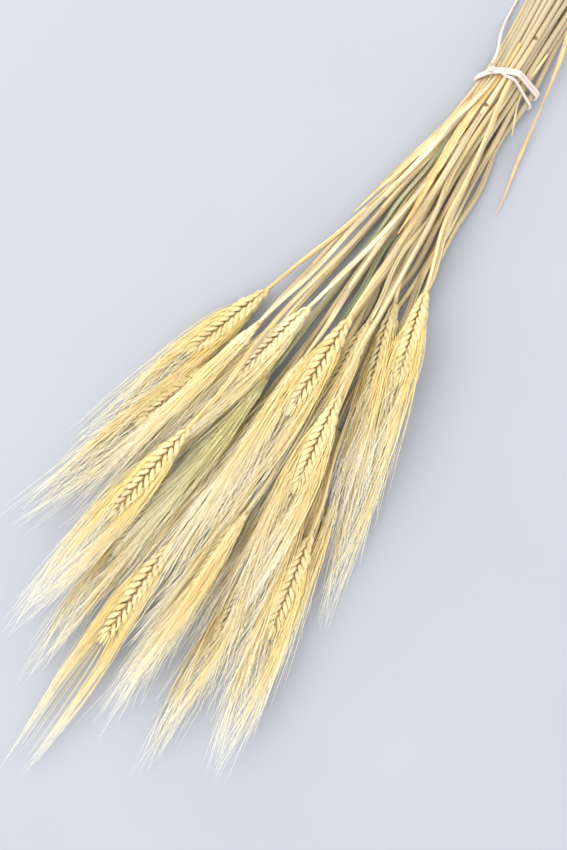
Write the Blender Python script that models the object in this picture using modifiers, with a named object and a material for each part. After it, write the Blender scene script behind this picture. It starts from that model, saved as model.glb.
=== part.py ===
"""Dried bearded wheat: ripe stalks tied with cotton string, lying on their side.

The bunch runs along Y, with its cut ends at +Y and its ears and awns at -Y. The origin is
on the table, under the string. A distance s along the bunch is counted from the string
towards the ears, so y = -s. Sizes are in millimetres and turn to metres in the meshes.

Every stalk and leaf follows a path, an (x, z) place at each station along s. A path starts
as a wish, and then all paths are settled together: in slices across the bunch each piece is
a circle of its own reach, and circles push each other apart while they sink to the table.
"""
import math

import bmesh
import bpy
import numpy as np
from mathutils import Matrix, Vector

MM = 0.001
OBJECT_NAME = "dried_wheat"

# Stalks
STRAW_RADIUS = 1.75
CUT_END = 118.0
CUT_SPREAD = 14.0
TUBE_SIDES = 6
RING_CLEAR = 8.0

# Ears: seven spikelets a side, set alternately on a slim core
SPIKELETS_A_SIDE = 7
CORE_ACROSS = 2.2
CORE_UP = 2.9
SPIKELET_OUT = 5.1
SPIKELET_HALF_WIDTH = 3.3
SPIKELET_TIP_OUT = 7.0
SPIKELET_SHOULDER_IN = 0.7
BODY_LOW = 0.42
BODY_HIGH = 0.98
TIP_STEP_IN = 0.15
TIP_LENGTH = 3.0
TIP_SLANT = 0.5
EAR_TAPER = 0.32
EAR_WAIST = 0.14
EAR_TOP = 10.0
CORE_TAPER = 0.25
CORE_SLANT = 0.25
LAST_SPIKELET = (2.2, 2.0)
LAST_SPIKELET_TIP = 7.0
LAST_AWN_RADIUS = 0.45

# Awns: one for each spikelet, at true length, in lanes that fan out in order
AWN_THICKNESS = 0.7
AWN_LANE = 0.8
AWN_PAST_EAR = 58.0
AWN_PAST_EAR_LAST = 112.0
AWN_RING = 7.0
AWN_FAN = 1.55
AWN_CLOSING = 0.45
AWN_SHUFFLE = 9.0
AWN_LANE_SHUFFLE = 0.3
SHUFFLE_SEED = 11

# Reach of a stalk in its slices, from its own axis
EAR_REACH = 7.7
BRUSH_REACH = 6.9
BRUSH_END_REACH = 4.0
EAR_SWELL = 9.0

# Leaves
LEAF_THICKNESS = 0.7
LEAF_ROWS = 10
LEAF_CURL = 0.22
LEAF_FOLD = 0.9
LEAF_MARGIN = 0.15

# String: two strands side by side, a thinner wrap, and a knot on the upper left
STRING_RADIUS = 1.25
STRAND_SHIFT = 2.2
WRAP_RADIUS = 1.05
STRING_CLEARANCE = 0.5
STRING_NEAR = (-14.0, -7.0, 0.0, 7.0)
STRING_SINK = 0.5
BAND_S = -8.5
BAND_TILT = -0.22
BAND_LEAN = 0.452
BAND_TOP = 22.0
WRAP_S = 1.5
WRAP_TILT = -0.45
WRAP_TO_KNOT = 3.5
WRAP_TURN_FROM = -3.0
WRAP_TURN_ABOVE = 8.0
WRAP_TURN_RUN = 12.0
LOOP_POINTS = 26
KNOT_ANGLE = 137.0
KNOT_RADII = (3.2, 3.6, 2.5)
TAIL_RADIUS = 0.95
TAIL_POINTS = 32
TAIL_ROUTE = [
    (-17.6, 7.4, 20.35), (-17.75, 11.3, 20.5), (-18.5, 15.6, 19.9), (-19.7, 20.0, 18.2),
    (-21.0, 24.0, 14.9), (-22.3, 28.0, 10.9), (-23.6, 33.0, 6.5), (-24.6, 39.0, 3.1),
    (-25.3, 46.0, 1.6), (-25.8, 54.0, 1.15), (-26.3, 63.0, 1.1), (-26.9, 73.0, 1.1),
    (-27.8, 84.0, 1.1), (-29.2, 95.0, 1.1), (-31.0, 106.0, 1.1),
]

# Settling
STEP = 35.0
FIRST = -140.0
LAST = 630.0
SLICES_A_STEP = 4
TURNS = 1200
QUIET_TURNS = 500
GAP = 0.55
TIE_HALF_WIDTH = 14.5
TIE_MIDDLE = 10.0
TIE_LAYER = 3.4
TIE_REACH = 20.0
SQUEEZE = (0.09, 0.09)
SINK = 0.10
PULL = 0.05
LEAF_PULL = 0.03
SMOOTHING = 0.25
PUSH = 0.8
LAYER_HEIGHT = 12.5

# One row a stalk: s and x where the ear begins, lean in x for each mm of s, layer from
# 0 on the table to 2 on top, ear length, roll of the ear in degrees, tint
STALKS = [
    (205, -58, -0.34, 1.0, 74, 10, "golden"),
    (265, -76, -0.36, 1.0, 74, 0, "golden"),
    (229, -58, -0.26, 1.8, 74, 80, "pale"),
    (201, -30, -0.27, 2.0, 74, 25, "pale"),
    (193, -12, 0.00, 2.6, 80, 0, "golden"),
    (233, -22, -0.02, 1.6, 74, 75, "pale"),
    (209, -19, -0.05, 0.9, 70, 30, "green"),
    (188, 6, 0.04, 1.6, 74, 60, "straw"),
    (150, 14, 0.28, 2.4, 70, 15, "golden"),
    (167, 14, 0.27, 1.3, 72, 50, "golden"),
    (315, -64, -0.17, 1.7, 86, 0, "golden"),
    (390, -32, -0.06, 1.4, 86, 8, "golden"),
    (344, -8, 0.00, 1.5, 76, 70, "straw"),
    (294, -10, -0.06, 1.7, 74, 20, "golden"),
    (354, 22, 0.06, 1.2, 78, 40, "golden"),
    (334, 43, 0.21, 1.0, 78, 0, "golden"),
    (302, 20, 0.14, 1.5, 74, 20, "straw"),
    (257, -36, -0.10, 1.3, 72, 65, "green"),
    (212, 33, 0.27, 1.0, 74, 30, "golden"),
    (243, 13, 0.13, 2.4, 74, 10, "straw"),
    (255, -52, -0.20, 0.2, 70, 40, "straw"),
    (290, -28, -0.10, 0.2, 72, 70, "straw"),
    (262, 31, 0.16, 0.3, 70, 55, "straw"),
    (300, 41, 0.20, 0.2, 72, 80, "straw"),
    (330, 2, 0.03, 0.3, 74, 45, "straw"),
    (345, -46, -0.12, 0.3, 74, 35, "straw"),
    (272, 4, 0.02, 0.9, 72, 65, "golden"),
]

# One row a leaf: name, tint, half width, then its route as (s, x, z)
LEAVES = [
    ("leaf_left", "leaf_pale", 2.6,
     [(-13, -13, 13), (11, -13, 13), (50, -23, 12), (74, -29, 9), (131, -47, 4)]),
    ("leaf_top", "leaf_orange", 3.0,
     [(-30, -8, 19), (0, -8, 18), (18, -9, 20), (50, -14, 22), (84, -10, 25), (128, -11, 29)]),
    ("leaf_right", "leaf_orange", 1.7,
     [(-100, 9, 15), (-70, 12, 14), (-40, 21, 9), (0, 28, 6), (22, 31, 4), (52, 36, 3), (78, 41, 2)]),
    ("leaf_short", "leaf_pale", 1.6,
     [(-34, 12, 14), (0, 11, 13), (27, 23, 9)]),
]

# The one leaf that hangs outside the string
OUTSIDE_LEAF = "leaf_right"

COLOURS = {
    "golden": (0.72, 0.53, 0.26),
    "pale": (0.80, 0.70, 0.45),
    "straw": (0.76, 0.62, 0.34),
    "green": (0.52, 0.50, 0.28),
    "leaf_pale": (0.74, 0.62, 0.38),
    "leaf_orange": (0.66, 0.40, 0.14),
    "cotton": (0.86, 0.82, 0.78),
}
STRAW_ROUGHNESS = 0.55
COTTON_ROUGHNESS = 0.9


def clear_scene():
    """Removes every object that the new file came with."""
    for thing in list(bpy.data.objects):
        bpy.data.objects.remove(thing, do_unlink=True)


def make_collection(name):
    """A new collection under the scene's own."""
    group = bpy.data.collections.new(name)
    bpy.context.scene.collection.children.link(group)
    return group


def make_material(name, colour, roughness):
    """A Principled material of one colour."""
    material = bpy.data.materials.new(name)
    material.use_nodes = True
    shader = material.node_tree.nodes["Principled BSDF"]
    shader.inputs["Base Color"].default_value = (*colour, 1.0)
    shader.inputs["Roughness"].default_value = roughness
    shader.inputs["Metallic"].default_value = 0.0
    return material


def ease(value):
    """Smooth step from 0 to 1."""
    value = np.clip(value, 0.0, 1.0)
    return value * value * (3.0 - 2.0 * value)


def cut_distance(index):
    """How far before the string a stalk is cut: a fixed shuffle of the spread."""
    return -(CUT_END + CUT_SPREAD * ((index * 7) % 10) / 9.0)


def awn_end(row):
    """Distance from the ear's base to its furthest awn tip."""
    return row[4] + AWN_PAST_EAR_LAST


def stalk_reach(index, row, s):
    """Radius that a stalk needs in each slice, or 0 where it isn't."""
    begin, lean, length = row[0], row[2], row[4]
    stretch = math.sqrt(1.0 + lean * lean)
    t = (s - begin) * stretch
    reach = STRAW_RADIUS + (EAR_REACH - STRAW_RADIUS) * ease(t / EAR_SWELL + 0.6)
    reach = reach + (BRUSH_REACH - EAR_REACH) * ease((t - length) / AWN_PAST_EAR)
    past = (t - length - AWN_PAST_EAR) / (AWN_PAST_EAR_LAST - AWN_PAST_EAR)
    reach = reach + (BRUSH_END_REACH - BRUSH_REACH) * ease(past)
    there = (s > cut_distance(index) - 2.0) & (t < awn_end(row) + 2.0)
    return np.where(there, reach * stretch, 0.0)


def stalk_wish(row, s):
    """Wished place of a stalk: a bend from the string to the ear, then a straight line."""
    begin, across, lean, layer = row[:4]
    at_tie = TIE_HALF_WIDTH * np.clip((across - lean * begin * 0.45) / 48.0, -1.0, 1.0)
    t = np.clip(s / begin, 0.0, 1.0)
    first_lean = (across - at_tie) / begin
    bend = (2 * t**3 - 3 * t**2 + 1) * at_tie + (t**3 - 2 * t**2 + t) * begin * first_lean
    bend = bend + (3 * t**2 - 2 * t**3) * across + (t**3 - t**2) * begin * lean
    x = np.where(s > begin, across + lean * (s - begin), bend)
    x = np.where(s < 0.0, at_tie * (1.0 - 0.0010 * s), x)
    tie_z = TIE_MIDDLE + TIE_LAYER * (layer - 1.1)
    ear_z = EAR_REACH + LAYER_HEIGHT * layer
    z = tie_z + (ear_z - tie_z) * ease((s - 20.0) / (begin - 20.0))
    droop = ease((s - begin - row[4]) / 120.0)
    z = z - 0.35 * (ear_z - EAR_REACH) * droop
    return np.stack([x, z], axis=-1)


def route_wish(route, s):
    """Wished place of a leaf, read from its route."""
    at, x, z = np.array(route, dtype=float).T
    return np.stack([np.interp(s, at, x), np.interp(s, at, z)], axis=-1)


def leaf_width(row, s):
    """Half the width of a leaf at s: gathered at the string and narrow at both ends."""
    half_width, route = row[2], row[3]
    begin, end = route[0][0], route[-1][0]
    share = (s - begin) / (end - begin)
    gather = 0.35 + 0.65 * ease((np.abs(s) - 8.0) / 36.0)
    ends = np.minimum(0.4 + 1.6 * share, 0.12 + 2.2 * (1.0 - share))
    return half_width * np.clip(np.minimum(gather, ends), 0.12, 1.0)


def leaf_reach(row, s):
    """Radius that a leaf needs in each slice, or 0 where it isn't."""
    there = (s > row[3][0][0] - 3.0) & (s < row[3][-1][0] + 3.0)
    return np.where(there, leaf_width(row, s) + LEAF_MARGIN, 0.0)


def blend_matrix(stations, slices):
    """Weights that turn places at the stations into places at the slices."""
    weights = np.zeros((len(slices), len(stations)))
    for row, s in enumerate(slices):
        column = min(int((s - stations[0]) // STEP), len(stations) - 2)
        share = (s - stations[column]) / STEP
        weights[row, column] = 1.0 - share
        weights[row, column + 1] = share
    return weights


def straighten(place, stations, begins, ends):
    """Lays each stalk's ear and awns on the straight line that fits them best."""
    weight = (stations >= begins[:, None] - STEP) & (stations <= ends[:, None] + STEP)
    weight = weight.astype(float)
    total = weight.sum(axis=1)
    middle = (weight * stations).sum(axis=1) / total
    offset = (stations - middle[:, None]) * weight
    spread = (offset * offset).sum(axis=1)
    mean = (weight[:, :, None] * place).sum(axis=1) / total[:, None]
    lean = (offset[:, :, None] * place).sum(axis=1) / spread[:, None]
    line = mean[:, None] + lean[:, None] * (stations - middle[:, None])[:, :, None]
    return np.where(weight[:, :, None] > 0.0, line, place)


def settle():
    """Settled places of all stalks and leaves, one (x, z) for each station."""
    stations = np.arange(FIRST, LAST + 1.0, STEP)
    slices = np.arange(FIRST, LAST + 1.0, STEP / SLICES_A_STEP)
    weights = blend_matrix(stations, slices)
    wish = [stalk_wish(row, stations) for row in STALKS]
    wish += [route_wish(row[3], stations) for row in LEAVES]
    reach = [stalk_reach(index, row, slices) for index, row in enumerate(STALKS)]
    reach += [leaf_reach(row, slices) for row in LEAVES]
    wish = np.array(wish)
    reach = np.array(reach)
    begins = np.array([row[0] for row in STALKS], dtype=float)
    ends = begins + np.array([awn_end(row) for row in STALKS])
    count = len(STALKS)
    there = reach > 0.0
    both = there[:, None] & there[None, :] & ~np.eye(len(reach), dtype=bool)[:, :, None]
    need = np.where(both, reach[:, None] + reach[None, :] + GAP, 0.0)
    lifted = 2.0 * STRING_RADIUS - STRING_SINK + STRING_CLEARANCE
    floor = np.where(np.abs(slices) < TIE_REACH, lifted, 0.0)
    tied = np.flatnonzero(np.abs(stations) < TIE_REACH)
    held = [i for i in range(len(reach)) if i < count or LEAVES[i - count][0] != OUTSIDE_LEAF]
    place = wish.copy()
    for turn in range(TURNS + QUIET_TURNS):
        calm = max(0.0, 1.0 - turn / TURNS)
        place[:count, :, 0] += PULL * calm * (wish[:count, :, 0] - place[:count, :, 0])
        place[count:] += LEAF_PULL * (wish[count:] - place[count:])
        place[:count, :, 1] -= SINK * calm
        squeeze = calm * np.array(SQUEEZE) * ((0.0, TIE_MIDDLE) - place[np.ix_(held, tied)])
        place[np.ix_(held, tied)] += squeeze
        middle = 0.5 * (place[:, :-2] + place[:, 2:])
        place[:, 1:-1] += SMOOTHING * calm * (middle - place[:, 1:-1])
        centre = np.einsum("st,ntc->nsc", weights, place)
        apart = centre[:, None] - centre[None, :]
        distance = np.sqrt((apart * apart).sum(axis=-1)) + 1e-6
        lack = np.clip(need - distance, 0.0, None)
        push = (0.5 * lack / distance)[..., None] * apart
        move = push.sum(axis=1)
        move[:, :, 1] += np.clip(reach + floor - centre[:, :, 1], 0.0, None)
        active = (np.abs(move).sum(axis=-1) > 1e-5).astype(float)
        share = np.einsum("st,ns->nt", weights, active)
        total = np.einsum("st,nsc->ntc", weights, move)
        place += PUSH * total / np.maximum(share, 1e-6)[:, :, None]
        place[:count] = straighten(place[:count], stations, begins, ends)
    return stations, place


def to_world(s, x, z):
    """A place beside the string, in metres."""
    return Vector((x * MM, -s * MM, z * MM))


class Path:
    """Settled path of one stalk or leaf."""

    def __init__(self, stations, place):
        self.stations = stations
        self.place = place

    def point(self, s):
        """World place of the path at s, on the straight run between two stations."""
        x = np.interp(s, self.stations, self.place[:, 0])
        z = np.interp(s, self.stations, self.place[:, 1])
        return to_world(s, float(x), float(z))

    def heading(self, s, reach=6.0):
        """Direction of the path at s, averaged over a short run on both sides."""
        return (self.point(s + reach) - self.point(s - reach)).normalized()


def frame_along(heading, roll):
    """Directions across and up from a heading, turned about it by a roll in degrees."""
    across = heading.cross(Vector((0.0, 0.0, 1.0))).normalized()
    across = -across if across.x < 0.0 else across
    up = heading.cross(across)
    turn = Matrix.Rotation(math.radians(roll), 3, heading)
    return turn @ across, turn @ up


def set_ring(verts, unit, centre, frame, reach_across, reach_up, slant=0.0):
    """Puts a ring's corners round a centre. A slant sets its far row further along."""
    along, across, up = frame
    for vert, (u, w) in zip(verts, unit):
        lag = slant * (unit_row_edge() - u)
        beside = across * (reach_across * u) + up * (reach_up * w)
        vert.co = centre + (beside + along * lag) * MM


def unit_row_edge():
    """How far across the corners beside a row's flat side lie in a ring of radius 1."""
    return math.cos(math.pi / TUBE_SIDES)


def grow(bm, face):
    """Extrudes one face and returns the new one, whose corners keep their order."""
    return bmesh.ops.extrude_discrete_faces(bm, faces=[face])["faces"][0]


def close_in_point(bm, face, place):
    """Closes a face with a point pulled out to a place."""
    point = bmesh.ops.poke(bm, faces=[face])["verts"][0]
    point.co = place


def side_face(old_ring, new_ring, unit, row):
    """The flat side between two rings that faces its row, which is +1 or -1."""
    edge = unit_row_edge() - 0.01
    corners = [v for ring in (old_ring, new_ring) for v, (u, w) in zip(ring, unit) if u * row > edge]
    shared = set(corners[0].link_faces)
    for corner in corners[1:]:
        shared &= set(corner.link_faces)
    return shared.pop()


def set_body_face(face, base, frame, row, low, high, halves):
    """Sets the four corners of a spikelet's face.

    low and high are (along, out) of its lower and upper edges. halves gives the places
    beside the middle, the one below first.
    """
    along, across, up = frame
    middle = face.calc_center_median()
    for vert in face.verts:
        t, reach = high if (vert.co - middle).dot(along) > 0.0 else low
        beside = halves[1] if (vert.co - base).dot(up) > 0.0 else halves[0]
        vert.co = base + (along * t + across * (row * reach) + up * beside) * MM


def make_spikelet(bm, face, base, frame, row, shape, lane, awn_tip):
    """Grows a spikelet and its awn from one side face of the core.

    base is the axis at the face's lower edge. shape holds the pitch, the size, the width
    and how far its tip steps in.
    """
    pitch, size, width, step_in = shape
    body = grow(bm, face)
    low = (BODY_LOW * pitch, SPIKELET_OUT * size)
    high = (BODY_HIGH * pitch, (SPIKELET_OUT - SPIKELET_SHOULDER_IN) * size)
    half = SPIKELET_HALF_WIDTH * width
    set_body_face(body, base, frame, row, low, high, (-half, half))
    tip = grow(bm, body)
    tip_out = SPIKELET_TIP_OUT * size - step_in
    low = (pitch + TIP_LENGTH, tip_out)
    high = (pitch + TIP_LENGTH + TIP_SLANT, tip_out - AWN_THICKNESS)
    half = 0.5 * AWN_THICKNESS
    set_body_face(tip, base, frame, row, low, high, (lane - half, lane + half))
    close_in_point(bm, tip, awn_tip)


def awn_lane(order):
    """Lane of a spikelet's awn: sides take turns, and later ones lie nearer the middle."""
    lanes = (SPIKELETS_A_SIDE + 1) // 2
    return (-1.0) ** order * AWN_LANE * (lanes - 0.5 - order // 2)


def make_straw(bm, index, row, path):
    """Straw from its cut end to near the ear. Returns its end face and its ring's pattern."""
    begin, roll = row[0], row[5]
    cone = bmesh.ops.create_cone(bm, cap_ends=True, segments=TUBE_SIDES, radius1=1, radius2=1, depth=1)
    first = [v for v in cone["verts"] if v.co.z < 0.0]
    face = max(bm.faces, key=lambda f: f.calc_center_median().z)
    unit = [(v.co.x, v.co.y) for v in face.verts]
    first.sort(key=lambda v: min(range(TUBE_SIDES), key=lambda i: math.dist(unit[i], v.co.xy)))
    cut = cut_distance(index)
    rings = [cut] + [s for s in path.stations if cut + RING_CLEAR < s < begin - RING_CLEAR]
    for order, s in enumerate(rings):
        heading = path.heading(s)
        frame = (heading, *frame_along(heading, roll))
        face = grow(bm, face) if order > 1 else face
        ring = list(face.verts) if order > 0 else first
        set_ring(ring, unit, path.point(s), frame, STRAW_RADIUS, STRAW_RADIUS)
    return face, unit


def make_core(bm, face, unit, base, frame, length, pitch):
    """Slim core of an ear, up to its last spikelet and its awn. Returns the side faces."""
    along = frame[0]
    slant = CORE_SLANT * pitch / unit_row_edge()
    ring = None
    sides = []
    for order in range(SPIKELETS_A_SIDE + 1):
        face = grow(bm, face)
        new_ring = list(face.verts)
        thin = 1.0 - CORE_TAPER * order / SPIKELETS_A_SIDE
        centre = base + along * (order * pitch * MM)
        set_ring(new_ring, unit, centre, frame, CORE_ACROSS * thin, CORE_UP * thin, slant)
        if ring is not None:
            sides.append((order - 1, 1, side_face(ring, new_ring, unit, 1)))
            sides.append((order - 1, -1, side_face(ring, new_ring, unit, -1)))
        ring = new_ring
    face = grow(bm, face)
    set_ring(face.verts, unit, base + along * ((length - 1.0) * MM), frame, *LAST_SPIKELET)
    face = grow(bm, face)
    centre = base + along * ((length + LAST_SPIKELET_TIP) * MM)
    set_ring(face.verts, unit, centre, frame, LAST_AWN_RADIUS, LAST_AWN_RADIUS)
    close_in_point(bm, face, base + along * ((length + AWN_PAST_EAR_LAST - LAST_SPIKELET_TIP) * MM))
    return sides


def make_stalk(index, row, path, shuffle):
    """One stalk in one body: straw, core, spikelets and awns."""
    begin, length, roll = row[0], row[4], row[5]
    bm = bmesh.new()
    face, unit = make_straw(bm, index, row, path)
    base = path.point(begin)
    along = (path.point(begin + length) - base).normalized()
    frame = (along, *frame_along(along, roll))
    pitch = (length - EAR_TOP) / SPIKELETS_A_SIDE
    for order, side, face in make_core(bm, face, unit, base, frame, length, pitch):
        late = order / (SPIKELETS_A_SIDE - 1)
        size = 1.0 - EAR_TAPER * max(0.0, (late - 0.5) * 2.0) ** 2
        width = size * (1.0 - EAR_WAIST * (1.0 - math.sin(math.pi * min(1.0, late + 0.25))))
        lane = awn_lane(order) * size
        far = length + AWN_PAST_EAR + (AWN_PAST_EAR_LAST - AWN_PAST_EAR) * late
        far = far + shuffle.uniform(-AWN_SHUFFLE, 0.0)
        beside = lane * AWN_FAN + shuffle.uniform(-AWN_LANE_SHUFFLE, AWN_LANE_SHUFFLE)
        out = math.sqrt(AWN_RING**2 - beside**2) * (1.0 - AWN_CLOSING * late)
        tip = base + (frame[0] * far + frame[1] * (side * out) + frame[2] * beside) * MM
        low = order * pitch + (0.5 * pitch if side < 0 else 0.0)
        shape = (pitch, size, width, TIP_STEP_IN * order)
        make_spikelet(bm, face, base + along * (low * MM), frame, side, shape, lane, tip)
    name = "stalk_%02d" % (index + 1)
    mesh = bpy.data.meshes.new(name)
    bm.to_mesh(mesh)
    bm.free()
    return bpy.data.objects.new(name, mesh)


def make_leaf(row, path):
    """A dry blade: a curled strip along its path, narrow at both ends, with a thickness."""
    name, route = row[0], row[3]
    bm = bmesh.new()
    bmesh.ops.create_grid(bm, x_segments=LEAF_ROWS, y_segments=2, size=1.0)
    begin, end = route[0][0], route[-1][0]
    for vert in bm.verts:
        share = 0.5 * (vert.co.x + 1.0)
        side = vert.co.y
        s = begin + (end - begin) * share
        heading = path.heading(s)
        across, up = frame_along(heading, 0.0)
        width = float(leaf_width(row, s))
        curl = LEAF_CURL + LEAF_FOLD * (1.0 - width / row[2])
        lift = curl * width * (side * side - 0.5)
        vert.co = path.point(s) + (across * (side * width) + up * lift) * MM
    mesh = bpy.data.meshes.new(name)
    bm.to_mesh(mesh)
    bm.free()
    leaf = bpy.data.objects.new(name, mesh)
    wall = leaf.modifiers.new("blade", "SOLIDIFY")
    wall.thickness = LEAF_THICKNESS * MM
    wall.offset = 0.0
    return leaf


def string_hull(paths, reach):
    """Circles that the string must go round: centres and radii near the tie."""
    circles = []
    for path, radius in zip(paths, reach):
        for s in STRING_NEAR:
            place = path.point(s) / MM
            circles.append((place.x, place.z, radius))
    return np.array(circles)


def loop_route(circles, offset, s_of):
    """A closed line at an offset round the circles, as evenly spaced world points."""
    angle = np.radians(np.arange(0.0, 360.0, 2.5))
    out = np.stack([np.cos(angle), np.sin(angle)], axis=-1)
    support = out @ circles[:, :2].T + circles[:, 2]
    best = support.argmax(axis=1)
    line = circles[best, :2] + out * (circles[best, 2] + offset)[:, None]
    closed = np.vstack([line, line[:1]])
    run = np.concatenate([[0.0], np.cumsum(np.linalg.norm(np.diff(closed, axis=0), axis=1))])
    at = np.linspace(0.0, run[-1], LOOP_POINTS, endpoint=False)
    x = np.interp(at, run, closed[:, 0])
    z = np.interp(at, run, closed[:, 1])
    return [to_world(s_of(a, b), a, b) for a, b in zip(x.tolist(), z.tolist())]


def band_s(x, z):
    """Where along the bunch the doubled band crosses a place (x, z): it leans as it goes down."""
    return BAND_S + BAND_TILT * x + BAND_LEAN * (BAND_TOP - z)


def wrap_s(x, z):
    """Where the thin wrap crosses a place: it swings to the knot on the upper left."""
    swing = ease((WRAP_TURN_FROM - x) / WRAP_TURN_RUN) * ease((z - WRAP_TURN_ABOVE) / WRAP_TURN_RUN)
    return WRAP_S + WRAP_TILT * (z - TIE_MIDDLE) - WRAP_TO_KNOT * float(swing)


def make_tube(name, points, radius, closed):
    """A string as a curve with a round bevel, open with caps or closed in a ring."""
    curve = bpy.data.curves.new(name, "CURVE")
    curve.dimensions = "3D"
    curve.bevel_depth = radius * MM
    curve.bevel_resolution = 2
    curve.use_fill_caps = not closed
    spline = curve.splines.new("POLY")
    spline.points.add(len(points) - 1)
    for knot, point in zip(spline.points, points):
        knot.co = (*point, 1.0)
    spline.use_cyclic_u = closed
    return bpy.data.objects.new(name, curve)


def to_mesh_object(thing):
    """A mesh object of what a thing evaluates to, in place of the thing."""
    bpy.context.view_layer.update()
    graph = bpy.context.evaluated_depsgraph_get()
    mesh = bpy.data.meshes.new_from_object(thing.evaluated_get(graph))
    name = thing.name
    solid = bpy.data.objects.new(name, mesh)
    solid.matrix_world = thing.matrix_world
    for group in thing.users_collection:
        group.objects.link(solid)
    bpy.data.objects.remove(thing, do_unlink=True)
    solid.name = name
    return solid


def make_knot(circles):
    """A lump of crossed string, seated on the band at the upper left."""
    angle = math.radians(KNOT_ANGLE)
    out = np.array([math.cos(angle), math.sin(angle)])
    best = int((circles[:, :2] @ out + circles[:, 2]).argmax())
    x, z = circles[best, :2] + out * (circles[best, 2] + STRING_CLEARANCE + KNOT_RADII[2])
    bm = bmesh.new()
    bmesh.ops.create_uvsphere(bm, u_segments=10, v_segments=6, radius=1.0)
    size = Matrix.Diagonal((*[r * MM for r in KNOT_RADII], 1.0))
    turn = Matrix.Rotation(math.radians(90.0) - angle, 4, "Y")
    place = Matrix.Translation(to_world(band_s(x, z), x, z))
    bmesh.ops.transform(bm, matrix=place @ turn @ size, verts=bm.verts)
    mesh = bpy.data.meshes.new("knot")
    bm.to_mesh(mesh)
    bm.free()
    return bpy.data.objects.new("knot", mesh)


def make_string(bunch, cutters, circles):
    """The tie in one body: two strands, a thin wrap and the knot, pressed flat below."""
    strands = make_collection("strands")
    band = loop_route(circles, STRING_CLEARANCE + STRING_RADIUS, band_s)
    shift = Vector((0.0, 0.5 * STRAND_SHIFT * MM, 0.0))
    wrap = loop_route(circles, STRING_CLEARANCE + WRAP_RADIUS, wrap_s)
    tie = make_tube("string_tie", [point + shift for point in band], STRING_RADIUS, True)
    bunch.objects.link(tie)
    tie = to_mesh_object(tie)
    for name, points, radius in (
        ("second_strand", [point - shift for point in band], STRING_RADIUS),
        ("thin_wrap", wrap, WRAP_RADIUS),
    ):
        tube = make_tube(name, points, radius, True)
        strands.objects.link(tube)
        to_mesh_object(tube)
    strands.objects.link(make_knot(circles))
    joined = tie.modifiers.new("joined", "BOOLEAN")
    joined.operation = "UNION"
    joined.operand_type = "COLLECTION"
    joined.collection = strands
    tie = to_mesh_object(tie)
    for strand in list(strands.objects):
        bpy.data.objects.remove(strand, do_unlink=True)
    table = make_table_cutter()
    cutters.objects.link(table)
    pressed = tie.modifiers.new("pressed", "BOOLEAN")
    pressed.operation = "DIFFERENCE"
    pressed.object = table
    return tie


def make_table_cutter():
    """A slab whose top is the table: it takes off what the string would sink into it."""
    bm = bmesh.new()
    bmesh.ops.create_cube(bm, size=1.0)
    place = Matrix.Translation((0.0, 0.0, -5.0 * MM)) @ Matrix.Diagonal((0.1, 0.1, 10.0 * MM, 1.0))
    bmesh.ops.transform(bm, matrix=place, verts=bm.verts)
    mesh = bpy.data.meshes.new("table_cutter")
    bm.to_mesh(mesh)
    bm.free()
    table = bpy.data.objects.new("table_cutter", mesh)
    table.hide_render = True
    table.display_type = "WIRE"
    return table


def smooth_route(route, count):
    """Evenly counted points on a smooth curve through a route's own points."""
    points = np.array(route, dtype=float)
    padded = np.vstack([2 * points[0] - points[1], points, 2 * points[-1] - points[-2]])
    places = []
    for t in np.linspace(0.0, len(points) - 1.0, count):
        k = min(int(t), len(points) - 2)
        u = t - k
        a, b, c, d = padded[k:k + 4]
        curve = 2 * b + (c - a) * u + (2 * a - 5 * b + 4 * c - d) * u**2 + (3 * b - a - 3 * c + d) * u**3
        places.append(Vector((0.5 * curve * MM).tolist()))
    return places


def main():
    """Builds the whole bunch."""
    clear_scene()
    bunch = make_collection(OBJECT_NAME)
    cutters = make_collection("cutters")
    stations, place = settle()
    shuffle = np.random.default_rng(SHUFFLE_SEED)
    materials = {name: make_material(name, colour, STRAW_ROUGHNESS) for name, colour in COLOURS.items()}
    for index, row in enumerate(STALKS):
        stalk = make_stalk(index, row, Path(stations, place[index]), shuffle)
        stalk.data.materials.append(materials[row[6]])
        bunch.objects.link(stalk)
    paths = [Path(stations, place[index]) for index in range(len(place))]
    leaf_paths = paths[len(STALKS):]
    for row, path in zip(LEAVES, leaf_paths):
        leaf = make_leaf(row, path)
        leaf.data.materials.append(materials[row[1]])
        bunch.objects.link(leaf)
    held = [(row, path) for row, path in zip(LEAVES, leaf_paths) if row[0] != OUTSIDE_LEAF]
    reach = [STRAW_RADIUS] * len(STALKS) + [float(leaf_reach(row, 0.0)) for row, path in held]
    circles = string_hull(paths[:len(STALKS)] + [path for row, path in held], reach)
    tie = make_string(bunch, cutters, circles)
    tie.data.materials.clear()
    tie.data.materials.append(materials["cotton"])
    tail = make_tube("string_tail", smooth_route(TAIL_ROUTE, TAIL_POINTS), TAIL_RADIUS, False)
    tail.data.materials.append(materials["cotton"])
    bunch.objects.link(tail)


if __name__ == "__main__":
    main()
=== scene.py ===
"""Dried bearded wheat, tied with cotton string and lying on its side: the looks.

Each stalk, leaf and string of the frame is replaced by a finer piece on the same path. The
bunch runs along Y, with its cut ends at +Y and its ears at -Y. A distance s is counted from
the string towards the ears, so y = -s, and the table is z = 0. Lengths are in millimetres
until a mesh is made.
"""
import math

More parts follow.
